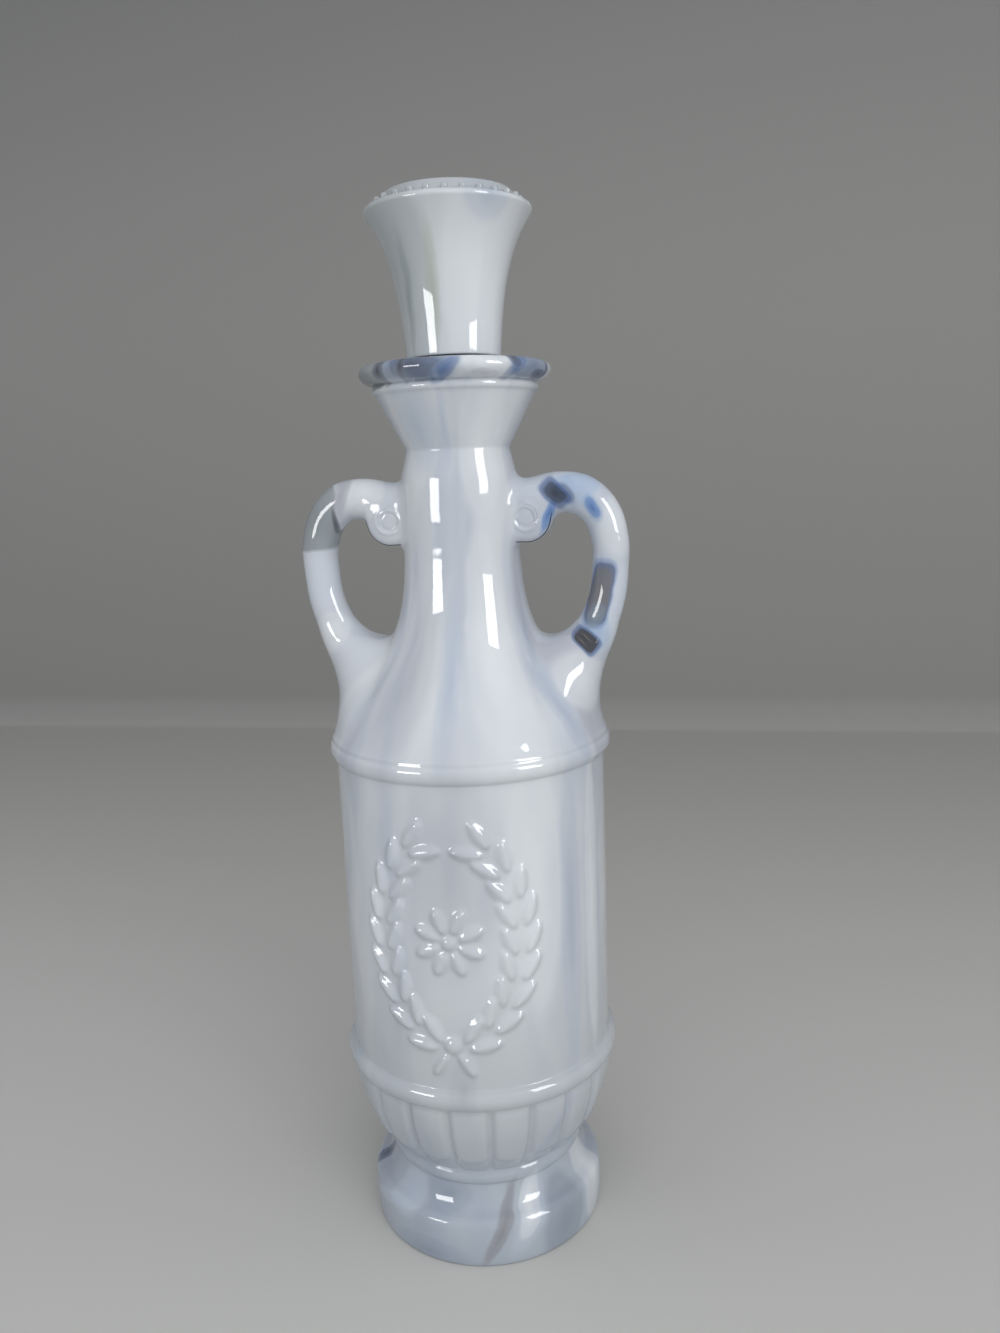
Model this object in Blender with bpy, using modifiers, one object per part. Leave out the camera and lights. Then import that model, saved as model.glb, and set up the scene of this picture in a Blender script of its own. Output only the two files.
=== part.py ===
"""Two-handled amphora decanter of moulded marbled glass, with its glass stopper and sealing plug.

Metres, +Z up. The foot rests on z = 0 round the Z axis, the handles lie along X and the
moulded ornament faces -Y.
"""

from math import asin, atan2, cos, pi, radians, sin, sqrt, tau

import bmesh
import bpy
from mathutils import Matrix, Vector

# Foot, cove and collar, upwards from the surface that the bottle stands on
FOOT_REST_RADIUS = 0.0393
FOOT_RADIUS = 0.0403
FOOT_HEIGHT = 0.0165
FOOT_EDGE_RADIUS = 0.0394
FOOT_EASE = 0.0012
COVE_HEIGHT = 0.0083
COVE_RADIUS = 0.0318
COLLAR_HEIGHT = 0.0054
COLLAR_RADIUS = 0.0338
COLLAR_TOP_RADIUS = 0.0328
PUSH_UP_RADIUS = 0.0300
PUSH_UP_DEPTH = 0.0026

# Gadrooned bowl and the ring above it
BOWL_HEIGHT = 0.0293
BOWL_TOP_RADIUS = 0.0441
LOBE_COUNT = 20
LOBE_TURN = radians(-4.6)
GROOVE_DEPTH = 0.0009
TONGUE_HEIGHT = 0.0007
LOWER_RING_HEIGHT = 0.0069
LOWER_RING_RADIUS = 0.0467

# Cylinder and the stepped ring at the shoulder
BODY_RADIUS = 0.0444
BODY_HEIGHT = 0.0992
SHOULDER_BEAD_RADIUS = 0.0460
SHOULDER_BEAD_HEIGHT = 0.0054
SHOULDER_STEP_RADIUS = 0.0449
SHOULDER_STEP_HEIGHT = 0.0026
SHOULDER_TOP_RADIUS = 0.0424
SHOULDER_COVE_HEIGHT = 0.0022

# Bell, neck and waist
BELL_HEIGHT = 0.0500
BELL_SLOPE_SHARE = 0.63
NECK_RADIUS = 0.0188
NECK_HEIGHT = 0.0200
WAIST_HEIGHT = 0.0179
WAIST_RADIUS = 0.0165

# Cup, bead and lip
CUP_HEIGHT = 0.0170
CUP_RADIUS = 0.0252
LIP_BEAD_HEIGHT = 0.0028
LIP_BEAD_RADIUS = 0.0264
LIP_HEIGHT = 0.0063
LIP_RADIUS = 0.0302
LIP_LAND_RADIUS = 0.0270
BORE_RADIUS = 0.0115
BORE_EASE = 0.0008

# Glass thickness
WALL = 0.0042
BASE_THICKNESS = 0.0060

# Handles: a round arm, a web under its lower root, and a scroll beside the neck
HANDLE_REACH = 0.0479
HANDLE_RISE = 0.0734
ARM_RADIUS = 0.0059
ARM_DEPTH_SHARE = 1.05
WEB_REACH = 0.0436
WEB_HEIGHT = 0.0276
WEB_HALF_DEPTH = 0.0250
SCROLL_PLACE = 0.0221
SCROLL_RADIUS = 0.0080
SCROLL_HALF_DEPTH = 0.0074
SCROLL_DROP = 0.0074
SCROLL_EDGE = 0.0012
SCROLL_CORD_RADIUS = 0.0010
SCROLL_BUTTON_RADIUS = 0.0026
SCROLL_TURNS = 1.3

# Moulded ornament: an upright oval wreath of paired leaves, tied below, round a rosette
WREATH_HALF_WIDTH = 0.0215
WREATH_HALF_HEIGHT = 0.0340
LEAVES_A_SIDE = 9
LEAF_LENGTH = 0.0105
LEAF_WIDTH = 0.0046
LEAF_SPREAD = 0.0034
LEAF_SPLAY = radians(24.0)
RELIEF_HEIGHT = 0.0018
RELIEF_ROOT = 0.0005
PETAL_COUNT = 8
PETAL_LENGTH = 0.0085
PETAL_WIDTH = 0.0048
PETAL_PLACE = 0.0072
ROSETTE_EYE_RADIUS = 0.0026
TIE_RADIUS = 0.0030
TAIL_LENGTH = 0.0090
TAIL_WIDTH = 0.0036
TAIL_SPLAY = radians(58.0)
WREATH_GAP_SHARE = 0.10

# Stopper head
HEAD_HEIGHT = 0.0484
HEAD_FOOT_RADIUS = 0.0148
HEAD_RIM_RADIUS = 0.0260
HEAD_RIM_DROP = 0.0056
HEAD_RIM_EASE = 0.0012
HEAD_TOP_RADIUS = 0.0205
HEAD_CHANNEL_RADIUS = 0.0236
HEAD_CHANNEL_DROP = 0.0036
HEAD_TOP_EDGE = 0.0008
PEG_RADIUS = 0.0075
BEAD_COUNT = 27
BEAD_RADIUS = 0.0011

# Sealing plug on the stopper's peg
PLUG_FLANGE_RADIUS = 0.0136
PLUG_FLANGE_THICKNESS = 0.0012
PLUG_LENGTH = 0.0220
PLUG_RIB_COUNT = 4
PLUG_RIB_HEIGHT = 0.0008
PLUG_END_TAPER = 0.0012
PLUG_FLOOR = 0.0014

# Fits
SEAT_GAP = 0.0003
OVERRUN = 0.0040
MERGE_DISTANCE = 0.00002
SMOOTH_ANGLE = radians(32.0)

# Facets: three columns to a lobe
BOTTLE_STEPS = LOBE_COUNT * 3
CAVITY_STEPS = 32
HEAD_STEPS = 44
PLUG_STEPS = 28

# Heights above the surface, worked out from the sizes above
COVE_TOP = FOOT_HEIGHT + COVE_HEIGHT
COLLAR_TOP = COVE_TOP + COLLAR_HEIGHT
BOWL_TOP = COLLAR_TOP + BOWL_HEIGHT
LOWER_RING_TOP = BOWL_TOP + LOWER_RING_HEIGHT
BODY_TOP = LOWER_RING_TOP + BODY_HEIGHT
SHOULDER_BEAD_TOP = BODY_TOP + SHOULDER_BEAD_HEIGHT
SHOULDER_STEP_TOP = SHOULDER_BEAD_TOP + SHOULDER_STEP_HEIGHT
SHOULDER_TOP = SHOULDER_STEP_TOP + SHOULDER_COVE_HEIGHT
BELL_TOP = SHOULDER_TOP + BELL_HEIGHT
NECK_TOP = BELL_TOP + NECK_HEIGHT
WAIST_TOP = NECK_TOP + WAIST_HEIGHT
CUP_TOP = WAIST_TOP + CUP_HEIGHT
LIP_BEAD_TOP = CUP_TOP + LIP_BEAD_HEIGHT
LIP_TOP = LIP_BEAD_TOP + LIP_HEIGHT
PLUG_TOP = LIP_TOP + SEAT_GAP + PLUG_FLANGE_THICKNESS
HEAD_FOOT = PLUG_TOP + SEAT_GAP
HEAD_TOP = HEAD_FOOT + HEAD_HEIGHT
SCROLL_HEIGHT = SHOULDER_TOP + HANDLE_RISE - SCROLL_DROP

# Handle arm from the neck, over the top and down into the web: shares of the reach from the
# axis, of the rise above the shoulder, and of the arm's radius
ARM_SHARES = (
    (0.334, 0.978, 1.02),
    (0.501, 0.985, 1.05),
    (0.668, 1.000, 1.10),
    (0.827, 0.981, 1.10),
    (0.948, 0.903, 1.05),
    (1.000, 0.790, 1.00),
    (1.000, 0.681, 0.98),
    (0.979, 0.559, 0.98),
    (0.925, 0.454, 1.02),
    (0.843, 0.361, 1.08),
    (0.775, 0.266, 1.10),
    (0.720, 0.163, 1.05),
)

# Level sections of the web, from below: shares of its height, of its reach at the outer
# edge and at the inner edge, and of its half depth
WEB_SHARES = (
    (-0.22, 1.035, 0.28, 1.04),
    (0.00, 1.014, 0.28, 1.02),
    (0.15, 1.000, 0.29, 0.98),
    (0.44, 0.987, 0.30, 0.76),
    (0.69, 1.012, 0.33, 0.56),
    (0.87, 1.050, 0.41, 0.42),
    (1.00, 1.065, 0.50, 0.31),
)

# Sides of the bowl: share of its height and share of the way from its foot to its top radius
BOWL_SHARES = ((0.06, 0.14), (0.25, 0.50), (0.40, 0.67), (0.62, 0.86), (0.82, 0.96))

# Shares of the bowl's height where the tongues end
TONGUE_END_SHARES = (0.22, 0.95)

# The stopper's flare: shares of its growth in radius and of its rise, where its curve is drawn to
FLARE_SHARES = ((0.14, 0.57), (0.43, 0.79))


def circle_points(radius, count):
    """Points round a circle, counter-clockwise from +X."""
    return [(radius * cos(tau * i / count), radius * sin(tau * i / count)) for i in range(count)]


def bezier(start, first, second, end, count):
    """Points along a cubic curve, without its start point."""
    points = []
    for i in range(1, count + 1):
        t = i / count
        u = 1 - t
        weights = (u ** 3, 3 * u * u * t, 3 * u * t * t, t ** 3)
        corners = (start, first, second, end)
        points.append(tuple(sum(w * c[k] for w, c in zip(weights, corners)) for k in (0, 1)))
    return points


def bulge(start, end, swell_radius, count):
    """Points along a rounded bead between two points, without its start point."""
    points = []
    for i in range(1, count + 1):
        angle = pi * i / count
        share = (1 - cos(angle)) / 2
        base = start[0] + (end[0] - start[0]) * share
        crest = swell_radius - (start[0] + end[0]) / 2
        points.append((base + crest * sin(angle), start[1] + (end[1] - start[1]) * share))
    return points


def foot_outline():
    """The foot, its cove and the collar bead, upwards from the resting edge."""
    outline = [(FOOT_REST_RADIUS, 0.0)]
    outline += bulge(outline[-1], (FOOT_EDGE_RADIUS, FOOT_HEIGHT - FOOT_EASE), FOOT_RADIUS, 3)
    outline.append((FOOT_EDGE_RADIUS - FOOT_EASE, FOOT_HEIGHT))
    cove_foot = (COVE_RADIUS + FOOT_EASE, FOOT_HEIGHT + COVE_HEIGHT / 2)
    outline += bezier(outline[-1], cove_foot, (COVE_RADIUS, COVE_TOP), (COVE_RADIUS, COVE_TOP), 3)
    outline += bulge(outline[-1], (COLLAR_TOP_RADIUS, COLLAR_TOP), COLLAR_RADIUS, 3)
    return outline


def bowl_outline():
    """The plain bowl under its lobes, between the collar and the lower ring."""
    spread = BOWL_TOP_RADIUS - COLLAR_TOP_RADIUS
    outline = []
    for height_share, radius_share in BOWL_SHARES:
        outline.append((COLLAR_TOP_RADIUS + spread * radius_share, COLLAR_TOP + BOWL_HEIGHT * height_share))
    outline.append((BOWL_TOP_RADIUS, BOWL_TOP))
    return outline


def bell_outline(shoulder_radius, neck_radius, count):
    """The long slope from the shoulder into the straight neck."""
    run = BELL_HEIGHT / 2
    start = (shoulder_radius, SHOULDER_TOP)
    first = (shoulder_radius - BELL_SLOPE_SHARE * run, SHOULDER_TOP + run)
    second = (neck_radius, SHOULDER_TOP + BELL_HEIGHT * BELL_SLOPE_SHARE)
    return bezier(start, first, second, (neck_radius, BELL_TOP), count)


def bottle_outline():
    """The outer half profile, upwards from the resting edge to the mouth."""
    outline = foot_outline() + bowl_outline()
    outline += bulge(outline[-1], (BODY_RADIUS, LOWER_RING_TOP), LOWER_RING_RADIUS, 4)
    outline.append((BODY_RADIUS, BODY_TOP))
    outline += bulge(outline[-1], (SHOULDER_STEP_RADIUS, SHOULDER_BEAD_TOP), SHOULDER_BEAD_RADIUS, 3)
    outline.append((SHOULDER_STEP_RADIUS, SHOULDER_STEP_TOP - SHOULDER_STEP_HEIGHT / 2))
    outline.append(((SHOULDER_STEP_RADIUS + SHOULDER_TOP_RADIUS) / 2, SHOULDER_STEP_TOP))
    outline.append((SHOULDER_TOP_RADIUS, SHOULDER_TOP))
    outline += bell_outline(SHOULDER_TOP_RADIUS, NECK_RADIUS, 7)
    outline.append((NECK_RADIUS, NECK_TOP))
    shoulder = (NECK_RADIUS, NECK_TOP + WAIST_HEIGHT / 2)
    outline += bezier(outline[-1], shoulder, shoulder, (WAIST_RADIUS, WAIST_TOP), 3)
    outline.append((CUP_RADIUS, CUP_TOP))
    outline += bulge(outline[-1], (CUP_RADIUS, LIP_BEAD_TOP), LIP_BEAD_RADIUS, 2)
    outline += bulge(outline[-1], (LIP_LAND_RADIUS, LIP_TOP), LIP_RADIUS, 5)
    return outline


def inside(*radii):
    """Radius of the hollow where these outer radii meet: a wall within the narrowest of them."""
    return min(radii) - WALL


def cavity_outline():
    """The inside of the glass, upwards from its floor to past the mouth."""
    foot = inside(FOOT_RADIUS, FOOT_EDGE_RADIUS, FOOT_REST_RADIUS)
    collar = inside(COVE_RADIUS, COLLAR_RADIUS, COLLAR_TOP_RADIUS)
    bowl = inside(BOWL_TOP_RADIUS, LOWER_RING_RADIUS)
    shoulder = inside(SHOULDER_TOP_RADIUS, SHOULDER_STEP_RADIUS, SHOULDER_BEAD_RADIUS)
    bowl_foot = (collar, COLLAR_TOP)
    outline = [(foot - WALL, BASE_THICKNESS), (foot, BASE_THICKNESS + WALL)]
    outline += bezier(outline[-1], (foot, FOOT_HEIGHT), (collar, COVE_TOP - WALL), (collar, COVE_TOP), 3)
    outline.append(bowl_foot)
    bowl_waist = (collar + WALL, COLLAR_TOP + WALL)
    outline += bezier(bowl_foot, bowl_waist, (bowl, COLLAR_TOP + BOWL_HEIGHT / 2), (bowl, BOWL_TOP), 4)
    outline.append((inside(BODY_RADIUS, LOWER_RING_RADIUS), LOWER_RING_TOP))
    outline.append((inside(BODY_RADIUS, SHOULDER_BEAD_RADIUS), BODY_TOP))
    outline.append((shoulder, SHOULDER_TOP - WALL))
    outline += bell_outline(SHOULDER_TOP_RADIUS - WALL, NECK_RADIUS - WALL, 5)[1:]
    outline.append((NECK_RADIUS - WALL, NECK_TOP))
    outline.append((BORE_RADIUS, NECK_TOP + WAIST_HEIGHT / 2))
    outline.append((BORE_RADIUS, LIP_TOP - BORE_EASE))
    outline.append((BORE_RADIUS + BORE_EASE, LIP_TOP))
    outline.append((BORE_RADIUS + BORE_EASE, LIP_TOP + OVERRUN))
    return outline


def add_object(name, data, collection):
    """A new object with its data, in a collection."""
    made = bpy.data.objects.new(name, data)
    collection.objects.link(made)
    return made


def turned(name, outline, steps, collection):
    """A turned solid: a half profile, given from bottom to top, spun about Z."""
    points = [(0.0, 0.0, outline[-1][1])]
    points += [(radius, 0.0, height) for radius, height in reversed(outline)]
    points.append((0.0, 0.0, outline[0][1]))
    mesh = bpy.data.meshes.new(name)
    mesh.from_pydata(points, [(i, i + 1) for i in range(len(points) - 1)], [])
    made = add_object(name, mesh, collection)
    spin = made.modifiers.new("Spin", "SCREW")
    spin.steps = steps
    spin.render_steps = steps
    spin.use_merge_vertices = True
    spin.merge_threshold = MERGE_DISTANCE
    return made


def tube(name, points, radii, collection, sides_level, smooth_steps):
    """A round bar along points, thicker or thinner by a factor at each."""
    curve = bpy.data.curves.new(name, "CURVE")
    curve.dimensions = "3D"
    curve.bevel_depth = max(radii)
    curve.bevel_resolution = sides_level
    curve.use_fill_caps = True
    curve.resolution_u = smooth_steps
    curve.render_resolution_u = smooth_steps
    spline = curve.splines.new("BEZIER")
    spline.bezier_points.add(len(points) - 1)
    for knot, point, radius in zip(spline.bezier_points, points, radii):
        knot.co = point
        knot.radius = radius / max(radii)
        knot.handle_left_type = "AUTO"
        knot.handle_right_type = "AUTO"
    return add_object(name, curve, collection)


def baked(source):
    """Replaces an object by the plain welded mesh that its curve or modifiers give."""
    graph = bpy.context.evaluated_depsgraph_get()
    mesh = bpy.data.meshes.new_from_object(source.evaluated_get(graph))
    work = bmesh.new()
    work.from_mesh(mesh)
    bmesh.ops.remove_doubles(work, verts=work.verts, dist=MERGE_DISTANCE)
    work.to_mesh(mesh)
    work.free()
    name = source.name
    collection = source.users_collection[0]
    place = source.matrix_world.copy()
    bpy.data.objects.remove(source)
    made = add_object(name, mesh, collection)
    made.matrix_world = place
    return made


def mesh_object(name, work, collection):
    """An object made from an edited mesh, with its faces turned out."""
    bmesh.ops.recalc_face_normals(work, faces=work.faces)
    mesh = bpy.data.meshes.new(name)
    work.to_mesh(mesh)
    work.free()
    return add_object(name, mesh, collection)


def combine(target, tool, operation):
    """Adds a tool's solid to the target, or cuts it away."""
    step = target.modifiers.new(tool.name, "BOOLEAN")
    step.operation = operation
    step.solver = "EXACT"
    step.use_self = True
    step.object = tool
    tool.hide_render = True
    tool.display_type = "WIRE"


def mirrored(piece):
    """Gives a handle piece its twin on the other side of the axis."""
    twin = piece.modifiers.new("Twin", "MIRROR")
    twin.use_mirror_merge = False
    twin.merge_threshold = MERGE_DISTANCE


def lobed(body):
    """Moulds the bowl's lobes: a groove at every third column, and raised tongues between."""
    tongue_low = COLLAR_TOP + BOWL_HEIGHT * TONGUE_END_SHARES[0]
    tongue_high = COLLAR_TOP + BOWL_HEIGHT * TONGUE_END_SHARES[1]
    pitch = tau / LOBE_COUNT
    for vertex in body.data.vertices:
        radius = vertex.co.xy.length
        on_bowl = COLLAR_TOP + MERGE_DISTANCE < vertex.co.z < BOWL_TOP - MERGE_DISTANCE
        if not on_bowl:
            continue
        turn = atan2(vertex.co.y, vertex.co.x) % pitch
        in_groove = min(turn, pitch - turn) < pitch / 6
        if in_groove:
            change = -GROOVE_DEPTH
        elif tongue_low < vertex.co.z < tongue_high:
            change = TONGUE_HEIGHT
        else:
            change = 0.0
        factor = (radius + change) / radius
        vertex.co.x *= factor
        vertex.co.y *= factor


def handle_arm(collection):
    """The round arm of a handle, flattened a little to its real depth."""
    points = []
    radii = []
    for reach_share, rise_share, radius_share in ARM_SHARES:
        points.append((HANDLE_REACH * reach_share, 0.0, SHOULDER_TOP + HANDLE_RISE * rise_share))
        radii.append(ARM_RADIUS * radius_share)
    arm = baked(tube("handle_arm", points, radii, collection, 3, 2))
    arm.data.transform(Matrix.Diagonal((1, ARM_DEPTH_SHARE, 1, 1)))
    mirrored(arm)
    return arm


def handle_web(collection):
    """The broad web under a handle: oval level sections joined from below upwards."""
    corners = 20
    work = bmesh.new()
    rings = []
    for height_share, outer_share, inner_share, depth_share in WEB_SHARES:
        outer = WEB_REACH * outer_share
        inner = WEB_REACH * inner_share
        height = SHOULDER_TOP + WEB_HEIGHT * height_share
        ring = []
        for across, deep in circle_points(1, corners):
            x = (outer + inner) / 2 + (outer - inner) / 2 * across
            ring.append(work.verts.new((x, WEB_HALF_DEPTH * depth_share * deep, height)))
        rings.append(ring)
    for lower, upper in zip(rings, rings[1:]):
        for i in range(corners):
            j = (i + 1) % corners
            work.faces.new((lower[i], lower[j], upper[j], upper[i]))
    work.faces.new(rings[0])
    work.faces.new(rings[-1])
    web = mesh_object("handle_web", work, collection)
    mirrored(web)
    return web


def scroll(collection):
    """The rolled end of a handle beside the neck: a drum with eased edges."""
    work = bmesh.new()
    bmesh.ops.create_cone(work, cap_ends=True, segments=24, radius1=SCROLL_RADIUS,
                          radius2=SCROLL_RADIUS, depth=SCROLL_HALF_DEPTH * 2)
    work.transform(Matrix.Rotation(pi / 2, 4, "X"))
    work.transform(Matrix.Translation((SCROLL_PLACE, 0.0, SCROLL_HEIGHT)))
    drum = mesh_object("handle_scroll", work, collection)
    ease = drum.modifiers.new("Edge", "BEVEL")
    ease.width = SCROLL_EDGE
    ease.segments = 2
    ease.limit_method = "ANGLE"
    mirrored(drum)
    return drum


def scroll_cords(collection):
    """The raised spiral cord and its button on each face of a scroll."""
    knots = 13
    outer = SCROLL_RADIUS - SCROLL_EDGE - SCROLL_CORD_RADIUS
    inner = SCROLL_BUTTON_RADIUS + SCROLL_CORD_RADIUS
    pieces = []
    for face in (-1, 1):
        points = []
        for i in range(knots):
            share = i / (knots - 1)
            angle = pi / 2 - tau * SCROLL_TURNS * share
            radius = outer + (inner - outer) * share
            x = SCROLL_PLACE + radius * cos(angle)
            depth = face * (SCROLL_HALF_DEPTH - SCROLL_CORD_RADIUS / 4)
            points.append((x, depth, SCROLL_HEIGHT + radius * sin(angle)))
        name = "scroll_cord_front" if face < 0 else "scroll_cord_back"
        cord = baked(tube(name, points, [SCROLL_CORD_RADIUS] * knots, collection, 1, 1))
        mirrored(cord)
        pieces.append(cord)
    buttons = bmesh.new()
    for face in (-1, 1):
        place = Matrix.Translation((SCROLL_PLACE, face * SCROLL_HALF_DEPTH, SCROLL_HEIGHT))
        flat = Matrix.Diagonal((1, SCROLL_CORD_RADIUS / SCROLL_BUTTON_RADIUS, 1, 1))
        bmesh.ops.create_uvsphere(buttons, u_segments=8, v_segments=4, radius=SCROLL_BUTTON_RADIUS,
                                  matrix=place @ flat @ Matrix.Rotation(pi / 2, 4, "X"))
    button = mesh_object("scroll_buttons", buttons, collection)
    mirrored(button)
    pieces.append(button)
    return pieces


def on_wall(across, height, turn):
    """Frame of a spot on the cylinder's front, with its outward normal as Z."""
    swing = asin(across / BODY_RADIUS)
    side = Vector((cos(swing), sin(swing), 0.0))
    out = Vector((sin(swing), -cos(swing), 0.0))
    up = Vector((0.0, 0.0, 1.0))
    frame = Matrix((side, up, out)).transposed().to_4x4()
    place = Matrix.Translation(out * (BODY_RADIUS - RELIEF_ROOT) + up * height)
    return place @ frame @ Matrix.Rotation(turn, 4, "Z")


def add_leaf(work, place, length, width):
    """A pointed leaf with a raised middle, set into the wall."""
    height = RELIEF_HEIGHT + RELIEF_ROOT
    made = bmesh.ops.create_cone(work, cap_ends=True, segments=8, radius1=1, radius2=0, depth=1)
    shape = Matrix.Translation((0.0, 0.0, height / 2)) @ Matrix.Diagonal((length / 2, width / 2, height, 1))
    bmesh.ops.transform(work, matrix=place @ shape, verts=made["verts"])


def add_boss(work, place, radius):
    """A domed boss set into the wall."""
    height = RELIEF_HEIGHT + RELIEF_ROOT
    made = bmesh.ops.create_uvsphere(work, u_segments=8, v_segments=6, radius=1)
    bmesh.ops.transform(work, matrix=place @ Matrix.Diagonal((radius, radius, height, 1)), verts=made["verts"])


def oval_places(count):
    """Evenly spaced places up the right side of the wreath's oval, each with its heading."""
    fine = 400
    arc = [0.0]
    for i in range(fine):
        angle = pi * (i + 0.5) / fine
        pace = sqrt((WREATH_HALF_WIDTH * cos(angle)) ** 2 + (WREATH_HALF_HEIGHT * sin(angle)) ** 2)
        arc.append(arc[-1] + pace * pi / fine)
    places = []
    for i in range(count):
        share = WREATH_GAP_SHARE + (1 - 2 * WREATH_GAP_SHARE) * i / (count - 1)
        step = next(k for k in range(fine) if arc[k + 1] >= share * arc[-1])
        angle = pi * (step + 0.5) / fine
        heading = atan2(WREATH_HALF_HEIGHT * sin(angle), WREATH_HALF_WIDTH * cos(angle))
        places.append((WREATH_HALF_WIDTH * sin(angle), -WREATH_HALF_HEIGHT * cos(angle), heading))
    return places


def wreath(collection):
    """Paired leaves up both sides of an oval, tied with two tails at its foot."""
    work = bmesh.new()
    middle = LOWER_RING_TOP + BODY_HEIGHT / 2
    tie = middle - WREATH_HALF_HEIGHT
    hang = TIE_RADIUS + SEAT_GAP + TAIL_LENGTH / 2
    for side in (-1, 1):
        for across, height, heading in oval_places(LEAVES_A_SIDE):
            for flank in (-1, 1):
                normal = heading + flank * pi / 2
                x = side * (across + LEAF_SPREAD * cos(normal))
                z = middle + height + LEAF_SPREAD * sin(normal)
                turn = heading + flank * LEAF_SPLAY
                turn = turn if side > 0 else pi - turn
                add_leaf(work, on_wall(x, z, turn), LEAF_LENGTH, LEAF_WIDTH)
        tail = on_wall(side * hang * cos(TAIL_SPLAY), tie - hang * sin(TAIL_SPLAY), -side * TAIL_SPLAY)
        add_leaf(work, tail, TAIL_LENGTH, TAIL_WIDTH)
    add_boss(work, on_wall(0.0, tie, 0.0), TIE_RADIUS)
    return mesh_object("wreath", work, collection)


def rosette(collection):
    """Petals round an eye, in the middle of the wreath."""
    work = bmesh.new()
    middle = LOWER_RING_TOP + BODY_HEIGHT / 2
    for i in range(PETAL_COUNT):
        angle = tau * (i + 0.5) / PETAL_COUNT
        x = PETAL_PLACE * cos(angle)
        z = middle + PETAL_PLACE * sin(angle)
        add_leaf(work, on_wall(x, z, angle), PETAL_LENGTH, PETAL_WIDTH)
    add_boss(work, on_wall(0.0, middle, 0.0), ROSETTE_EYE_RADIUS)
    return mesh_object("rosette", work, collection)


def make_bottle(parts, cutters):
    """The bottle: one piece of moulded glass, hollow from its floor to its mouth."""
    push_up = [(PUSH_UP_RADIUS / 2, PUSH_UP_DEPTH), (PUSH_UP_RADIUS, 0.0)]
    shell = turned("bottle", push_up + bottle_outline(), BOTTLE_STEPS, parts)
    bottle = baked(shell)
    lobed(bottle)
    bottle.data.transform(Matrix.Rotation(LOBE_TURN, 4, "Z"))
    for tool in (handle_web(cutters), handle_arm(cutters), scroll(cutters)):
        combine(bottle, tool, "UNION")
    for tool in scroll_cords(cutters):
        combine(bottle, tool, "UNION")
    for tool in (wreath(cutters), rosette(cutters)):
        combine(bottle, tool, "UNION")
    cavity = turned("bottle_cavity", cavity_outline(), CAVITY_STEPS, cutters)
    combine(bottle, cavity, "DIFFERENCE")
    return bottle


def head_outline():
    """The stopper's half profile: peg, waisted flare, rounded rim, bead channel and flat top."""
    peg_end = LIP_TOP - PLUG_LENGTH + PLUG_FLOOR + SEAT_GAP
    rim = HEAD_TOP - HEAD_RIM_DROP
    channel = HEAD_TOP - HEAD_CHANNEL_DROP
    outline = [(PEG_RADIUS - PLUG_END_TAPER, peg_end), (PEG_RADIUS, peg_end + PLUG_END_TAPER)]
    outline.append((PEG_RADIUS, HEAD_FOOT))
    outline.append((HEAD_FOOT_RADIUS, HEAD_FOOT))
    growth = HEAD_RIM_RADIUS - HEAD_FOOT_RADIUS
    low, high = [(HEAD_FOOT_RADIUS + growth * out, HEAD_FOOT + (rim - HEAD_FOOT) * up)
                 for out, up in FLARE_SHARES]
    outline += bezier(outline[-1], low, high, (HEAD_RIM_RADIUS, rim), 7)
    outline.append((HEAD_RIM_RADIUS - HEAD_RIM_EASE / 4, rim + HEAD_RIM_EASE))
    outline.append((HEAD_CHANNEL_RADIUS, channel))
    outline.append((HEAD_TOP_RADIUS + HEAD_TOP_EDGE, channel + HEAD_TOP_EDGE))
    outline.append((HEAD_TOP_RADIUS, HEAD_TOP - HEAD_TOP_EDGE))
    outline.append((HEAD_TOP_RADIUS - HEAD_TOP_EDGE, HEAD_TOP))
    return outline


def make_head(parts, cutters):
    """The glass stopper with its ring of beads."""
    head = turned("stopper_head", head_outline(), HEAD_STEPS, parts)
    ring = (HEAD_CHANNEL_RADIUS + HEAD_TOP_RADIUS + HEAD_TOP_EDGE) / 2
    height = HEAD_TOP - HEAD_CHANNEL_DROP + BEAD_RADIUS / 2
    work = bmesh.new()
    for x, y in circle_points(ring, BEAD_COUNT):
        bmesh.ops.create_uvsphere(work, u_segments=6, v_segments=4, radius=BEAD_RADIUS,
                                  matrix=Matrix.Translation((x, y, height)))
    combine(head, mesh_object("stopper_beads", work, cutters), "UNION")
    return head


def plug_outline():
    """The outside of the sealing plug: closed end, ribs and the flange on the mouth."""
    end = LIP_TOP + SEAT_GAP - PLUG_LENGTH
    rib_radius = BORE_RADIUS - SEAT_GAP
    core = rib_radius - PLUG_RIB_HEIGHT
    pitch = (PLUG_LENGTH - PLUG_END_TAPER * 2) / (PLUG_RIB_COUNT + 1)
    outline = [(core - PLUG_END_TAPER, end), (core, end + PLUG_END_TAPER)]
    for i in range(PLUG_RIB_COUNT):
        middle = end + PLUG_END_TAPER + pitch * (i + 1)
        outline.append((core, middle - PLUG_RIB_HEIGHT))
        outline.append((rib_radius, middle + PLUG_RIB_HEIGHT / 4))
        outline.append((core, middle + PLUG_RIB_HEIGHT))
    outline.append((core, LIP_TOP + SEAT_GAP))
    outline.append((PLUG_FLANGE_RADIUS, LIP_TOP + SEAT_GAP))
    outline.append((PLUG_FLANGE_RADIUS, PLUG_TOP))
    return outline


def make_plug(parts, cutters):
    """The ribbed sleeve on the stopper's peg, which seals in the bore."""
    plug = turned("stopper_plug", plug_outline(), PLUG_STEPS, parts)
    floor = LIP_TOP - PLUG_LENGTH + PLUG_FLOOR
    socket = [(PEG_RADIUS + SEAT_GAP, floor), (PEG_RADIUS + SEAT_GAP, PLUG_TOP + OVERRUN)]
    combine(plug, turned("plug_socket", socket, PLUG_STEPS, cutters), "DIFFERENCE")
    return plug


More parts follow.
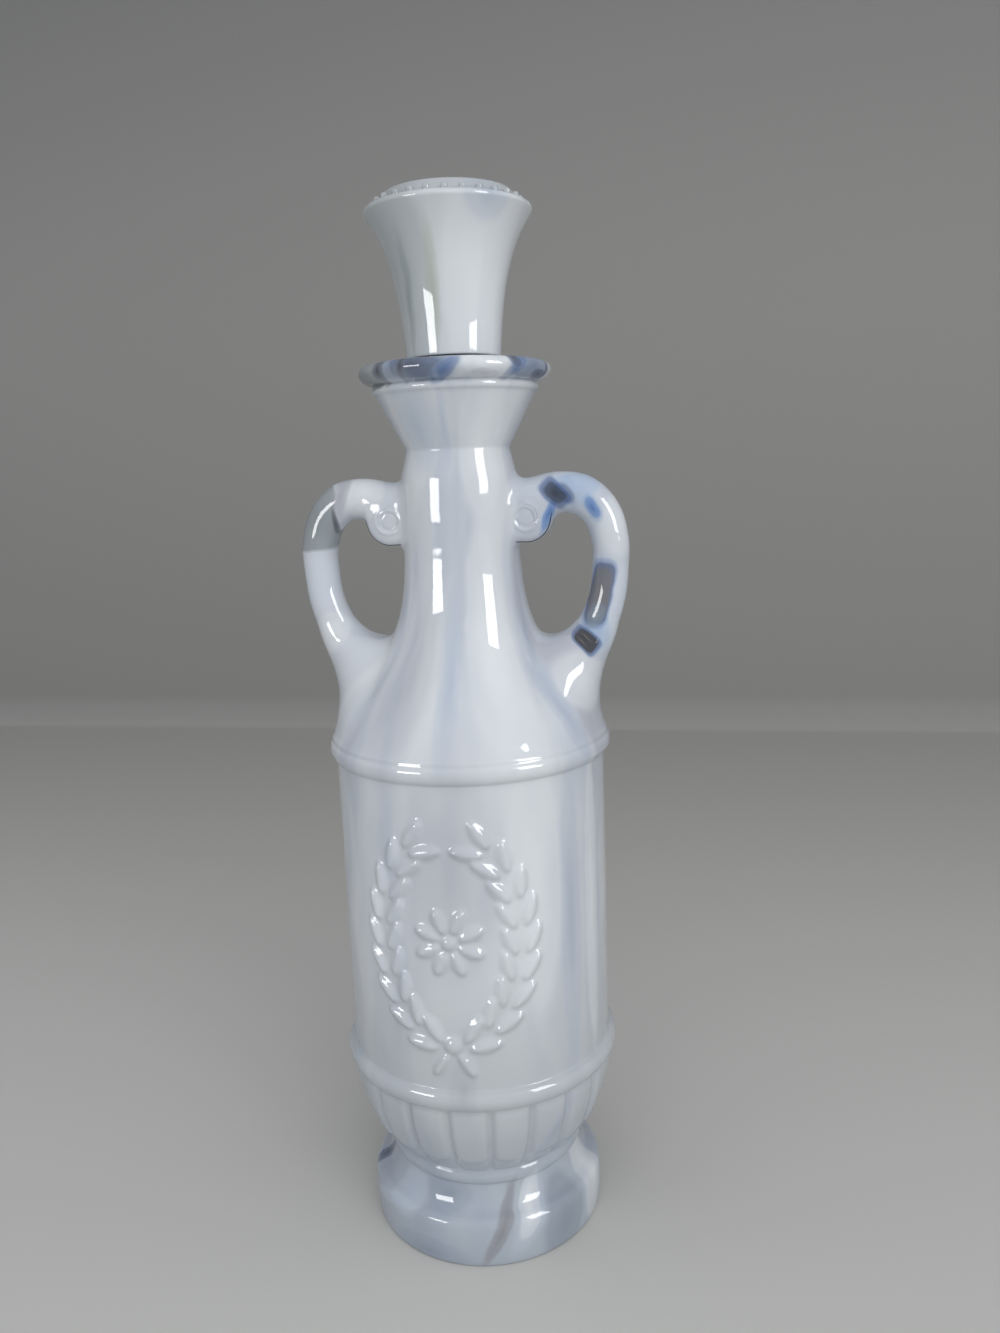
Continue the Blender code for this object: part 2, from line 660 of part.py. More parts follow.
def glass_material(name, colour, roughness):
    """A glossy opaque finish."""
    material = bpy.data.materials.new(name)
    material.use_nodes = True
    shader = material.node_tree.nodes["Principled BSDF"]
    shader.inputs["Base Color"].default_value = (*colour, 1.0)
    shader.inputs["Roughness"].default_value = roughness
    shader.inputs["Metallic"].default_value = 0.0
    material.diffuse_color = (*colour, 1.0)
    return material


def finish(piece, material):
    """Gives a piece its material and smooth rounds."""
    piece.data.materials.clear()
    piece.data.materials.append(material)
    piece.data.shade_smooth()
    piece.data.set_sharp_from_angle(angle=SMOOTH_ANGLE)


def main():
    for old in list(bpy.data.objects):
        bpy.data.objects.remove(old)
    parts = bpy.data.collections.new("amphora_decanter")
    cutters = bpy.data.collections.new("cutters")
    for collection in (parts, cutters):
        bpy.context.scene.collection.children.link(collection)
    bottle = make_bottle(parts, cutters)
    head = make_head(parts, cutters)
    plug = make_plug(parts, cutters)
    finish(bottle, glass_material("marbled_milk_glass", (0.60, 0.65, 0.71), 0.08))
    finish(head, glass_material("pressed_milk_glass", (0.62, 0.68, 0.72), 0.08))
    finish(plug, glass_material("natural_polyethylene", (0.80, 0.79, 0.74), 0.45))
    stopper = add_object("stopper", None, parts)
    stopper.location = (0.0, 0.0, LIP_TOP)
    bpy.context.view_layer.update()
    for piece in (head, plug):
        piece.parent = stopper
        piece.matrix_parent_inverse = stopper.matrix_world.inverted()


main()
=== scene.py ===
"""Visual model of a two-handled amphora decanter in marbled milk glass, with its stopper."""
from math import cos, radians, sin, tau
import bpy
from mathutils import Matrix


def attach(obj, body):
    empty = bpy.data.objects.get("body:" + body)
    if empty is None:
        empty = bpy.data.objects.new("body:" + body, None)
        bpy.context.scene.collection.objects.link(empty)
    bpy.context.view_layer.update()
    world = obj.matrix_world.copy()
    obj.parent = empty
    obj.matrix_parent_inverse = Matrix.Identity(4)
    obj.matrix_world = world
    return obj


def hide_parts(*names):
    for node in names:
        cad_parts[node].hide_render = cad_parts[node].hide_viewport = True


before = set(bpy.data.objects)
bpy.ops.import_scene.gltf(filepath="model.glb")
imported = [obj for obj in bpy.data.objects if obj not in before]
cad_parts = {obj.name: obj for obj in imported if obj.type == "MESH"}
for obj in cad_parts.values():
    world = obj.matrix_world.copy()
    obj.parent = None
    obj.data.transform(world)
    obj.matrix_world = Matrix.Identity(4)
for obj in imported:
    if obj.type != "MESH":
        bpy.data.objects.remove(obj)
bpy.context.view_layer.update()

from types import SimpleNamespace

import bmesh
import bpy
import numpy as np
from mathutils import Matrix, Vector

bl_info = {
    "name": "Amphora Decanter",
    "version": (1, 0, 0),
    "blender": (4, 5, 0),
    "location": "View3D > Sidebar > Decanter",
    "description": "Builds a marbled milk glass amphora decanter over its solid model",
    "category": "Add Mesh",
}

MM = 0.001

# Steps of the meshes, in metres: the fine step that outlines are worked out in, the shortest and
# longest step up a wall, the longest inside, and the step where the wall carries its relief
FINE_STEP = 0.00008
SHORT_STEP = 0.00024
LONG_STEP = 0.0026
INNER_STEP = 3 * LONG_STEP
RELIEF_STEP = 0.00056

# How far a step may stand off its curve, the steps over which the curve's bend is smoothed, and the
# least bend, in radians a metre, that shortens a step
CHORD_ERROR = 0.000008
BEND_SMOOTHING = 4
LEAST_BEND = 1e-3

# Rounding of every corner, as a Gaussian's width: what the mould and the fire polish leave on the
# bottle and on the pressed head, and what the mould alone leaves on the plastic plug
MOULD_EASE = 0.00045
HEAD_EASE = MOULD_EASE * 0.7
PLUG_EASE = 0.00014

# Points on an outline's curves: small and large beads and coves, long slopes, and the same inside
# the glass, where they don't show
SMALL_BEND, LARGE_BEND, LONG_SLOPE = 16, 20, 40
INNER_BEND, INNER_SLOPE = 8, 12

# Points from one knot of a smooth curve to the next, on the bowl and on the handles
BOWL_KNOT_STEPS, HANDLE_KNOT_STEPS = 8, 10

# Sides of the turned and swept pieces
HEAD_SIDES, PLUG_SIDES, CORE_SIDES = 144, 96, 64
ARM_SIDES, WEB_SIDES, SCROLL_SIDES = 40, 64, 80
BEAD_SIDES, BEAD_ROWS = 20, 12

# Places round one lobe of the bowl, as shares of the way from its groove to the next one
LOBE_SHARES = (0.0, 0.04, 0.09, 0.16, 0.28, 0.5, 0.72, 0.84, 0.91, 0.96)

# The front sector that carries the relief, in degrees either side of -Y, and its column step
FRONT_HALF_SECTOR = 41.0
FRONT_STEP = 0.72

# Margins at the cylinder's ends: without the relief's fine steps, below and above, and without any
# relief
RELIEF_MARGINS = (4 * MM, 6 * MM)
WALL_MARGIN = 3 * MM

# The hollow over the foot: shares of its depth and of its height, where its curve is drawn to
COVE_SHARES = ((0.44, 0.13), (0.39, 0.25))

# Sides of the bowl: share of its height and share of the way from its foot to its top radius
BOWL_SHARES = ((0.06, 0.14), (0.25, 0.50), (0.40, 0.67), (0.62, 0.86), (0.82, 0.96))

# Shares of the bowl's height where the tongues end, how near the curve of a tongue's foot comes to a
# full half circle, and its height over the lobe's half width
TONGUE_END_SHARES = (0.22, 0.95)
TONGUE_ROUND_SHARE = 0.98
TONGUE_FOOT_SHARE = 0.9

# Widths over which the bowl's forms rise: a groove's side, a tongue's foot and its top, which starts
# past the tongue's end, and the fade at the bowl's foot and top
GROOVE_WIDTH = 1.25 * MM
TONGUE_FOOT_EDGE = 1.4 * MM
TONGUE_TOP_EDGE = 1.6 * MM
TONGUE_TOP_LEAD = 1.2 * MM
BOWL_FOOT_FADE = 1.5 * MM
BOWL_TOP_FADE = 1.2 * MM

# A leaf of the relief: power of its taper, width of its midrib and share of its height in the midrib
LEAF_TAPER_POWER = 0.7
MIDRIB_WIDTH = 0.4 * MM
MIDRIB_SHARE = 0.22

# The arm's middle line from its root in the neck to its root in the shoulder: shares of its
# reach and of its rise above the shoulder, with the share of its radius
ARM_SHARES = (
    (0.334, 0.978, 1.02),
    (0.501, 0.985, 1.05),
    (0.668, 1.000, 1.10),
    (0.827, 0.981, 1.10),
    (0.948, 0.903, 1.05),
    (1.000, 0.790, 1.00),
    (1.000, 0.681, 0.98),
    (0.979, 0.559, 0.98),
    (0.925, 0.454, 1.02),
    (0.843, 0.361, 1.08),
    (0.775, 0.266, 1.10),
    (0.720, 0.163, 1.05),
)

# Level sections of the web, from below: shares of its height, of its reach at the outer
# edge and at the inner edge, and of its half depth
WEB_SHARES = (
    (-0.22, 1.035, 0.28, 1.04),
    (0.00, 1.014, 0.28, 1.02),
    (0.15, 1.000, 0.29, 0.98),
    (0.44, 0.987, 0.30, 0.76),
    (0.69, 1.012, 0.33, 0.56),
    (0.87, 1.050, 0.41, 0.42),
    (1.00, 1.065, 0.50, 0.31),
)

# Widths over which the handles' forms flow together: arm into web, both into the scroll, all into
# the wall, and the web's side into its top
ARM_BLEND = 7.0 * MM
SCROLL_BLEND = 4.5 * MM
WALL_BLEND = 3.6 * MM
WEB_TOP_BLEND = 4.0 * MM

# The spiral ridge on a scroll: width of its side, share of its length where it has run out, share
# over which it does, and height over the cord's radius
RIDGE_WIDTH = 0.75 * MM
RIDGE_END_SHARE = 1.04
RIDGE_FADE_SHARE = 0.08
RIDGE_HEIGHT_SHARE = 0.8

# How far from a handle's skin the glass is moved onto the blended form, in how many rounds, and the
# longest move in a round
FILLET_REACH = 4 * MM
FILLET_ROUNDS = 4
FILLET_MOVE = 0.6 * MM

# The stopper's flare: shares of its growth in radius and of its rise, where its curve is drawn to
FLARE_SHARES = ((0.14, 0.57), (0.43, 0.79))


def length(name, description, default):
    """A property for a size in metres."""
    return bpy.props.FloatProperty(name=name, description=description, default=default,
                                   precision=5, unit="LENGTH")


def colour(name, description, default):
    """A property for a colour, written as an sRGB hex value."""
    return bpy.props.StringProperty(name=name, description=description, default=default)


class FootSizes(bpy.types.PropertyGroup):
    """The foot, the collar, the lobed bowl and the ring over it."""
    rest_radius: length("Rest radius", "Radius of the edge that stands on the table", 0.0393)
    radius: length("Foot radius", "Widest radius of the foot", 0.0403)
    height: length("Foot height", "Height of the foot's side", 0.0165)
    edge_radius: length("Edge radius", "Radius at the foot's upper edge", 0.0394)
    ease: length("Edge ease", "Slope at the foot's upper edge", 0.0012)
    cove_height: length("Cove height", "Height of the hollow over the foot", 0.0083)
    cove_radius: length("Cove radius", "Radius at the top of the hollow", 0.0318)
    collar_height: length("Collar height", "Height of the collar bead", 0.0054)
    collar_radius: length("Collar radius", "Widest radius of the collar bead", 0.0338)
    collar_top_radius: length("Collar top radius", "Radius where the bowl starts", 0.0328)
    push_up_radius: length("Push-up radius", "Radius of the hollow under the base", 0.0300)
    push_up_depth: length("Push-up depth", "Depth of the hollow under the base", 0.0026)
    bowl_height: length("Bowl height", "Height of the lobed bowl", 0.0293)
    bowl_top_radius: length("Bowl top radius", "Radius at the top of the bowl", 0.0441)
    groove_depth: length("Groove depth", "Depth of the grooves between the lobes", 0.0009)
    tongue_height: length("Tongue height", "How far each lobe stands out", 0.0007)
    ring_height: length("Ring height", "Height of the ring over the bowl", 0.0069)
    ring_radius: length("Ring radius", "Widest radius of the ring over the bowl", 0.0467)
    lobe_count: bpy.props.IntProperty(name="Lobes", description="Lobes round the bowl", default=20)
    lobe_turn: bpy.props.FloatProperty(name="Lobe turn", description="Turn of the first groove from +X",
                                       default=radians(-4.6), subtype="ANGLE")


class BodySizes(bpy.types.PropertyGroup):
    """The cylinder, the shoulder, the bell, the neck and the mouth."""
    radius: length("Body radius", "Radius of the cylinder", 0.0444)
    height: length("Body height", "Height of the cylinder between its rings", 0.0992)
    bead_radius: length("Shoulder bead radius", "Widest radius of the shoulder bead", 0.0460)
    bead_height: length("Shoulder bead height", "Height of the shoulder bead", 0.0054)
    step_radius: length("Step radius", "Radius of the step over the bead", 0.0449)
    step_height: length("Step height", "Height of the step over the bead", 0.0026)
    top_radius: length("Shoulder radius", "Radius where the bell starts", 0.0424)
    cove_height: length("Shoulder cove height", "Height from the step to the bell", 0.0022)
    bell_height: length("Bell height", "Height of the slope up to the neck", 0.0500)
    bell_lead: length("Bell lead", "How far the bell's curve runs on up the neck", 0.0090)
    bell_share: bpy.props.FloatProperty(name="Bell slope", description="Shape of the bell's curve",
                                        default=0.63, subtype="FACTOR")
    neck_radius: length("Neck radius", "Radius of the straight neck", 0.0188)
    neck_height: length("Neck height", "Height of the straight neck", 0.0200)
    waist_height: length("Waist height", "Height over which the neck draws in", 0.0179)
    waist_radius: length("Waist radius", "Narrowest radius under the cup", 0.0165)
    cup_height: length("Cup height", "Height of the flared cup", 0.0170)
    cup_radius: length("Cup radius", "Radius at the top of the cup", 0.0252)
    lip_bead_height: length("Lip bead height", "Height of the fine bead under the lip", 0.0028)
    lip_bead_radius: length("Lip bead radius", "Radius of the fine bead under the lip", 0.0264)
    lip_height: length("Lip height", "Height of the lip", 0.0063)
    lip_radius: length("Lip radius", "Widest radius of the lip", 0.0302)
    land_radius: length("Land radius", "Radius of the flat on top of the lip", 0.0270)
    bore_radius: length("Bore radius", "Radius of the bore in the neck", 0.0115)
    bore_ease: length("Bore ease", "Rounding of the mouth", 0.0008)
    wall: length("Wall", "Thickness of the glass", 0.0042)
    base: length("Base thickness", "Thickness of the glass under the hollow", 0.0060)


class HandleSizes(bpy.types.PropertyGroup):
    """The two handles: arm, web and rolled end."""
    reach: length("Reach", "From the axis to the arm's middle line", 0.0479)
    rise: length("Rise", "From the shoulder to the arm's top", 0.0734)
    arm_radius: length("Arm radius", "Radius of the arm", 0.0059)
    arm_depth_share: bpy.props.FloatProperty(name="Arm depth", description="Depth of the arm over its width",
                                             default=1.05, subtype="FACTOR")
    web_reach: length("Web reach", "From the axis to the web's outer edge", 0.0436)
    web_height: length("Web height", "Height of the web over the shoulder", 0.0276)
    web_half_depth: length("Web half depth", "Half the depth of the web at its foot", 0.0250)
    scroll_place: length("Scroll place", "From the axis to the scroll's middle", 0.0221)
    scroll_radius: length("Scroll radius", "Radius of the scroll", 0.0080)
    scroll_half_depth: length("Scroll half depth", "Half the depth of the scroll", 0.0074)
    scroll_drop: length("Scroll drop", "From the arm's top to the scroll's middle", 0.0074)
    scroll_edge: length("Scroll edge", "Rounding of the scroll's edge", 0.0030)
    cord_radius: length("Cord radius", "Height of the spiral ridge", 0.0006)
    button_radius: length("Button radius", "Radius of the scroll's button", 0.0026)
    scroll_turns: bpy.props.FloatProperty(name="Scroll turns", description="Turns of the spiral ridge",
                                          default=1.3)


class ReliefSizes(bpy.types.PropertyGroup):
    """The wreath and the rosette on the front of the cylinder."""
    half_width: length("Half width", "Half the width of the wreath's oval", 0.0215)
    half_height: length("Half height", "Half the height of the wreath's oval", 0.0340)
    leaf_length: length("Leaf length", "Length of a leaf", 0.0105)
    leaf_width: length("Leaf width", "Width of a leaf", 0.0046)
    leaf_spread: length("Leaf spread", "From the stem to a leaf's middle", 0.0034)
    height: length("Relief height", "How far the relief stands out", 0.0018)
    petal_length: length("Petal length", "Length of a petal", 0.0085)
    petal_width: length("Petal width", "Width of a petal", 0.0048)
    petal_place: length("Petal place", "From the rosette's middle to a petal's", 0.0072)
    eye_radius: length("Eye radius", "Radius of the rosette's eye", 0.0026)
    tie_radius: length("Tie radius", "Radius of the tie at the wreath's foot", 0.0030)
    tail_length: length("Tail length", "Length of a ribbon tail", 0.0090)
    tail_width: length("Tail width", "Width of a ribbon tail", 0.0036)
    leaves_a_side: bpy.props.IntProperty(name="Leaves a side", description="Pairs of leaves on each side",
                                         default=9)
    petal_count: bpy.props.IntProperty(name="Petals", description="Petals of the rosette", default=8)
    leaf_splay: bpy.props.FloatProperty(name="Leaf splay", description="Angle between a leaf and the stem",
                                        default=radians(24.0), subtype="ANGLE")
    tail_splay: bpy.props.FloatProperty(name="Tail splay", description="Angle of the tails below level",
                                        default=radians(58.0), subtype="ANGLE")
    gap_share: bpy.props.FloatProperty(name="Gap", description="Share of the oval left open at its ends",
                                       default=0.10, subtype="FACTOR")


class StopperSizes(bpy.types.PropertyGroup):
    """The glass stopper and the plug on its peg."""
    height: length("Head height", "Height of the head over the mouth", 0.0484)
    foot_radius: length("Foot radius", "Radius at the head's foot", 0.0148)
    rim_radius: length("Rim radius", "Widest radius of the head", 0.0260)
    rim_drop: length("Rim drop", "From the top down to the rim", 0.0056)
    rim_ease: length("Rim ease", "Rounding of the rim", 0.0012)
    top_radius: length("Top radius", "Radius of the flat top", 0.0205)
    channel_radius: length("Channel radius", "Outer radius of the bead channel", 0.0236)
    channel_drop: length("Channel drop", "Depth of the bead channel", 0.0036)
    top_edge: length("Top edge", "Rounding of the flat top", 0.0008)
    peg_radius: length("Peg radius", "Radius of the glass peg", 0.0075)
    bead_radius: length("Bead radius", "Radius of a bead", 0.0011)
    flange_radius: length("Flange radius", "Radius of the plug's flange", 0.0136)
    flange_thickness: length("Flange thickness", "Thickness of the plug's flange", 0.0012)
    plug_length: length("Plug length", "Length of the plug in the bore", 0.0220)
    rib_height: length("Rib height", "Height of a sealing rib", 0.0008)
    end_taper: length("End taper", "Taper at the plug's end", 0.0012)
    plug_floor: length("Plug floor", "Thickness of the plug's closed end", 0.0014)
    seat_gap: length("Seat gap", "Gap between pieces that touch", 0.0003)
    bead_count: bpy.props.IntProperty(name="Beads", description="Beads round the top", default=27)
    rib_count: bpy.props.IntProperty(name="Ribs", description="Sealing ribs on the plug", default=4)


class GlassColours(bpy.types.PropertyGroup):
    """Colours of the glass batch and of the plug, as sRGB hex values."""
    milk: colour("Milk", "The whitest glass", "#d3d7db")
    pale: colour("Pale blue", "The main glass", "#c9ced5")
    haze: colour("Haze", "Soft blue-grey streaks", "#bec5cf")
    mauve: colour("Mauve", "Soft mauve-grey streaks", "#b5b8c2")
    # The foot and bowl colours carry painted shade of the low parts as well as the glass's own blue-grey
    foot: colour("Foot", "Blue-grey glass of the foot", "#98a3b1")
    bowl: colour("Bowl", "Grey glass of the bowl", "#a2a7ac")
    plug: colour("Plug", "Natural polyethylene", "#dcdad2")


class StageColours(bpy.types.PropertyGroup):
    """Colours of the floor and of the backdrop, as sRGB hex values."""
    floor: colour("Floor", "The floor in front", "#cbcbc8")
    # The floor's back and the backdrop's top are darker as painted shade of the light's fall-off
    floor_back: colour("Floor back", "The floor by the backdrop", "#a8a7a3")
    backdrop: colour("Backdrop", "The backdrop", "#979694")
    backdrop_top: colour("Backdrop top", "The backdrop's upper part", "#7c7c7b")


# Colours and nodes


def linear(text, alpha=1.0):
    """Linear RGBA of an sRGB hex value."""
    parts = [int(text[i:i + 2], 16) / 255 for i in (1, 3, 5)]
    return (*[p / 12.92 if p <= 0.04045 else ((p + 0.055) / 1.055) ** 2.4 for p in parts], alpha)


def node(tree, kind, values=(), stops=(), **settings):
    """Adds a shader node, with its settings and with values or links for its inputs. The stops of a
    colour ramp are places, sRGB hex values and shares to which each hides what lies below it."""
    made = tree.nodes.new("ShaderNode" + kind)
    for key, value in settings.items():
        setattr(made, key, value)
    for key, value in dict(values).items():
        if isinstance(value, bpy.types.NodeSocket):
            tree.links.new(value, made.inputs[key])
        else:
            made.inputs[key].default_value = value
    for i, (place, text, share) in enumerate(stops):
        made.color_ramp.interpolation = "EASE"
        elements = made.color_ramp.elements
        stop = elements[i] if i < len(elements) else elements.new(place)
        stop.position = place
        stop.color = linear(text, share)
    return made


def blank_material(name):
    """A material with an empty tree, and its tree."""
    material = bpy.data.materials.new(name)
    material.use_nodes = True
    material.node_tree.nodes.clear()
    return material, material.node_tree


# Kinds of swirl in the batch: colours from a swirl's middle to its edge, each with how much it hides
SWIRL_KINDS = {
    "blue": ((0.0, "#4d74ad", 0.95), (0.5, "#5f84ba", 0.8), (0.8, "#93abca", 0.4), (1.0, "#b4c2d4", 0.0)),
    "sky": ((0.0, "#93aacb", 0.8), (0.6, "#9fb3cf", 0.55), (1.0, "#b9c6d8", 0.0)),
    "powder": ((0.0, "#b3becd", 0.8), (0.6, "#bac4d1", 0.5), (1.0, "#c5ccd5", 0.0)),
    "deep": ((0.0, "#3a3f49", 0.97), (0.45, "#3b465b", 0.92), (0.72, "#4c6492", 0.75), (1.0, "#8fa8cb", 0.0)),
    "window": ((0.0, "#77767a", 0.97), (0.58, "#6f7077", 0.95), (0.75, "#4d5d80", 0.85),
               (0.87, "#8498ba", 0.6), (1.0, "#a9bcd8", 0.0)),
    "mist": ((0.0, "#87939a", 0.9), (0.6, "#808d98", 0.7), (1.0, "#74839a", 0.0)),
    "slate": ((0.0, "#565b6b", 0.92), (0.6, "#5f6a82", 0.75), (1.0, "#96a3b8", 0.0)),
    # The next dark kind is dark glass in the lip and painted shade along the left arm's inner edge
    "ink_and_shade": ((0.0, "#494b55", 0.92), (0.5, "#5b5e68", 0.7), (1.0, "#8b8c94", 0.0)),
    "smoke": ((0.0, "#403e40", 0.97), (0.6, "#3f4046", 0.95), (0.8, "#4f6894", 0.7), (1.0, "#a9b9cf", 0.0)),
    "thread": ((0.0, "#8a8376", 0.75), (1.0, "#5d5850", 0.0)),
    "clear": ((0.0, "#81888b", 0.92), (0.9, "#8b9397", 0.88), (0.98, "#9aa2a7", 0.4), (1.0, "#a9b0b5", 0.0)),
    "mauve": ((0.0, "#85828c", 0.7), (0.6, "#9a97a2", 0.45), (1.0, "#b0b1bb", 0.0)),
    "umber": ((0.0, "#868388", 0.8), (0.5, "#8b8a90", 0.65), (1.0, "#a3a6ad", 0.0)),
    "graphite": ((0.0, "#858f9b", 0.8), (0.6, "#8b95a1", 0.65), (1.0, "#a3adb8", 0.0)),
    "denim": ((0.0, "#5b749f", 0.9), (0.6, "#6c80a3", 0.7), (1.0, "#93a2b8", 0.0)),
    "steel": ((0.0, "#8c97a6", 0.75), (0.6, "#95a0af", 0.5), (1.0, "#a9b3c0", 0.0)),
    "haze": ((0.0, "#a3aebf", 0.7), (0.6, "#adb7c5", 0.45), (1.0, "#b8c1cd", 0.0)),
    "veil": ((0.0, "#a6aab4", 0.55), (0.5, "#abafb9", 0.35), (1.0, "#b8bcc6", 0.0)),
    "dusk": ((0.0, "#74839a", 0.92), (0.7, "#8290a5", 0.85), (1.0, "#a3afc0", 0.0)),
    "fog": ((0.0, "#d0d3d5", 0.65), (0.7, "#d0d3d5", 0.6), (1.0, "#d0d3d5", 0.0)),
    "sage": ((0.0, "#959fa1", 0.75), (0.7, "#9ba5a6", 0.5), (1.0, "#aab1b2", 0.0)),
    "lichen": ((0.0, "#7f8989", 0.6), (0.5, "#889292", 0.4), (1.0, "#949e9e", 0.0)),
    "pewter": ((0.0, "#9a9fa3", 0.65), (0.7, "#9a9fa3", 0.55), (1.0, "#9a9fa3", 0.0)),
    "moss": ((0.0, "#a6aa98", 0.6), (0.6, "#abb0a2", 0.4), (1.0, "#b5b9b0", 0.0)),
    "frost": ((0.0, "#cbd3df", 0.85), (0.6, "#cdd4de", 0.6), (1.0, "#d0d6dd", 0.0)),
    "milk": ((0.0, "#dde1e4", 0.9), (0.7, "#d8dce0", 0.6), (1.0, "#cfd4da", 0.0)),
}

# The kinds that fill a rounded block and no egg shape
BLOCK_KINDS = ("window", "deep", "smoke", "clear", "dusk", "fog", "pewter")

# Swirls in the handles: kind, middle in mm, half sizes in mm, and lean of the top towards +X in degrees
HANDLE_SWIRLS = (
    # Right handle, from its root in the neck, over the top and down
    ("milk", (50, 0, 238), (8, 12, 13), 0),
    ("milk", (37, -9, 190), (12, 12, 12), 0),
    ("sky", (38, -3, 250), (10, 10, 7), -25),
    ("sky", (34, -3, 250.5), (6, 10, 5), -30),
    ("slate", (34.4, -5, 248.8), (3.4, 9, 5.0), -40),
    ("blue", (29.3, -7, 243.0), (2.0, 9, 9.0), 21),
    ("deep", (31.5, -6, 249.2), (4.0, 9, 6.4), -42),
    ("blue", (43.0, -6, 244.0), (3.0, 8, 5.6), -28),
    ("frost", (49.5, -3, 214), (5.0, 9, 16), 10),
    ("sky", (43.0, -6, 205), (6.0, 8, 9), 10),
    ("window", (44.6, -6, 217.4), (4.7, 8, 12.4), 13),
    ("mist", (43.2, -6, 210.6), (3.4, 7, 5.6), 22),
    ("smoke", (40.4, -6, 203.0), (3.4, 8, 6.0), -46),
    ("thread", (39.3, -6, 202.7), (0.35, 8, 4.4), -46),
    ("thread", (40.5, -6, 203.9), (0.35, 8, 4.6), -46),
    # Left handle
    ("frost", (-48, -2, 222), (9, 12, 13), 0),
    ("milk", (-44, -2, 206), (8, 14, 9), 0),
    ("milk", (-30, -4, 250), (8, 10, 9), 0),
    ("clear", (-48.5, -2, 244), (9, 14, 11.8), 0),
    ("mauve", (-38.3, -4, 250), (3.6, 10, 9), 12),
    # A dark line down the left arm's inner edge: partly dark glass at the clear patch's edge, partly painted
    # shade where the arm turns in
    ("ink_and_shade", (-40.7, -6, 241.5), (1.2, 8, 6.5), 0),
)

# Swirls in the wall: kind, turn from -Y towards +X in degrees, height in mm, half width and half
# height in mm on a wall of SWIRL_RADIUS, and lean of the top towards +X in degrees
SWIRL_RADIUS = 38.0
WALL_SWIRLS = (
    # Lip
    ("dusk", -14, 287.4, 21.0, 4.4, 0), ("slate", -12, 287.4, 17, 5, 0), ("clear", -63, 287, 16, 5, 0),
    ("ink_and_shade", -37, 287, 4.2, 6, 8), ("steel", -30, 286.8, 2.4, 3.2, 10), ("ink_and_shade", -20, 287, 2.4, 6, 14),
    ("denim", 6, 286.2, 3.0, 9, 62), ("milk", 28, 287, 10, 6, 20), ("mauve", 30, 284.6, 8, 1.6, 0),
    ("dusk", 63, 287, 14.0, 4.4, 0), ("denim", 50, 286.4, 2.6, 8, 56), ("slate", 48, 289, 5, 2.4, 30),
    ("slate", 73, 285, 8, 1.8, 0), ("slate", 81, 287, 2.0, 5, 0), ("milk", 96, 287, 6, 5, 0),
    ("slate", 125, 287, 6, 5, 20), ("blue", 142, 286, 2.6, 8, 60), ("clear", -172, 287, 9, 5, 0),
    ("umber", -140, 287, 2, 5, 12), ("sky", -120, 286.5, 4, 8, 55),
    # Cup, neck and bell
    ("powder", -26, 271, 16, 18, 0), ("powder", 1, 270, 3.5, 18, 0), ("milk", 34, 264, 18, 28, 0),
    ("veil", -24, 194, 13, 32, 6), ("powder", 2, 195, 5, 36, 4), ("milk", 30, 205, 15, 44, 0),
    # These two blue-grey streaks run down the crease between the right web and the bell: partly a streak in
    # the glass, partly painted shade in the crease
    ("haze", 67, 207, 3.6, 22, 21), ("haze", 59, 183, 4.0, 20, -10),
    # Cylinder and bowl
    ("veil", 2, 138, 17, 52, 0), ("haze", 53, 118, 5.0, 68, 0), ("milk", 36, 134, 10, 52, 0),
    ("milk", 68, 120, 4.0, 60, 0), ("veil", 3, 66, 5, 16, 0), ("haze", 43, 46, 3.6, 16, 28),
    ("haze", -150, 130, 6, 60, 6), ("powder", 160, 190, 8, 60, -8),
    # Foot
    ("powder", -36, 18, 9, 8, -30), ("steel", -12, 21, 12, 6.5, 0), ("steel", -20, 3, 18, 7, 0),
    ("graphite", 51, 10, 11, 17, 16), ("powder", 32, 15, 5.0, 16, 30), ("milk", 33, 18, 4.0, 12, 26),
    ("umber", 17.0, 13, 3.2, 19, 26), ("milk", 79, 14, 9, 18, 12), ("slate", -75, 18.5, 4.5, 6, 0),
    ("powder", -44, 14, 16, 2.4, -14), ("steel", 150, 14, 6, 14, 30),
)

# Swirls in the stopper, as on the wall
STOPPER_SWIRLS = (
    ("fog", 10, 316, 90, 30, 0), ("sage", -44, 316, 30, 42, 0), ("lichen", -38, 308, 5, 24, 8),
    ("moss", -6, 311, 5.5, 22, 2), ("milk", 40, 312, 30, 40, 0), ("milk", 64, 306, 16, 40, 0),
    ("powder", 40, 335, 15, 9, 0), ("pewter", 0, 341.5, 200, 7, 0),
)

# The marbling in mm: length of a streak and of its bends, height over the table up to which the
# glass is darker blue-grey, partly its own tint and partly painted shade of the low parts, length of
# the notches in a swirl's edge and of the waves left in the polished face, and how far below a flat
# top face the glass starts to count as part of it and wholly does
STREAK_LENGTH = 160
BEND_LENGTH = 40
LOW_TINT_AND_SHADE_HEIGHT = 120.0
NOTCH_LENGTH = 8
WAVE_LENGTH = 9
TOP_FACE_FADE = (0.6, 0.1)

# Radius, in noise cells, of the circle that a wall of SWIRL_RADIUS is laid on, and how far the bends
# push it
STREAK_SPREAD = 2.03
BEND_PUSH = (1.1, 1.1, 0.3)

# Radius in mm of the core where the streaks fan out less, in the bottle and in the stopper
BOTTLE_CORE = 5.0
STOPPER_CORE = 25.0


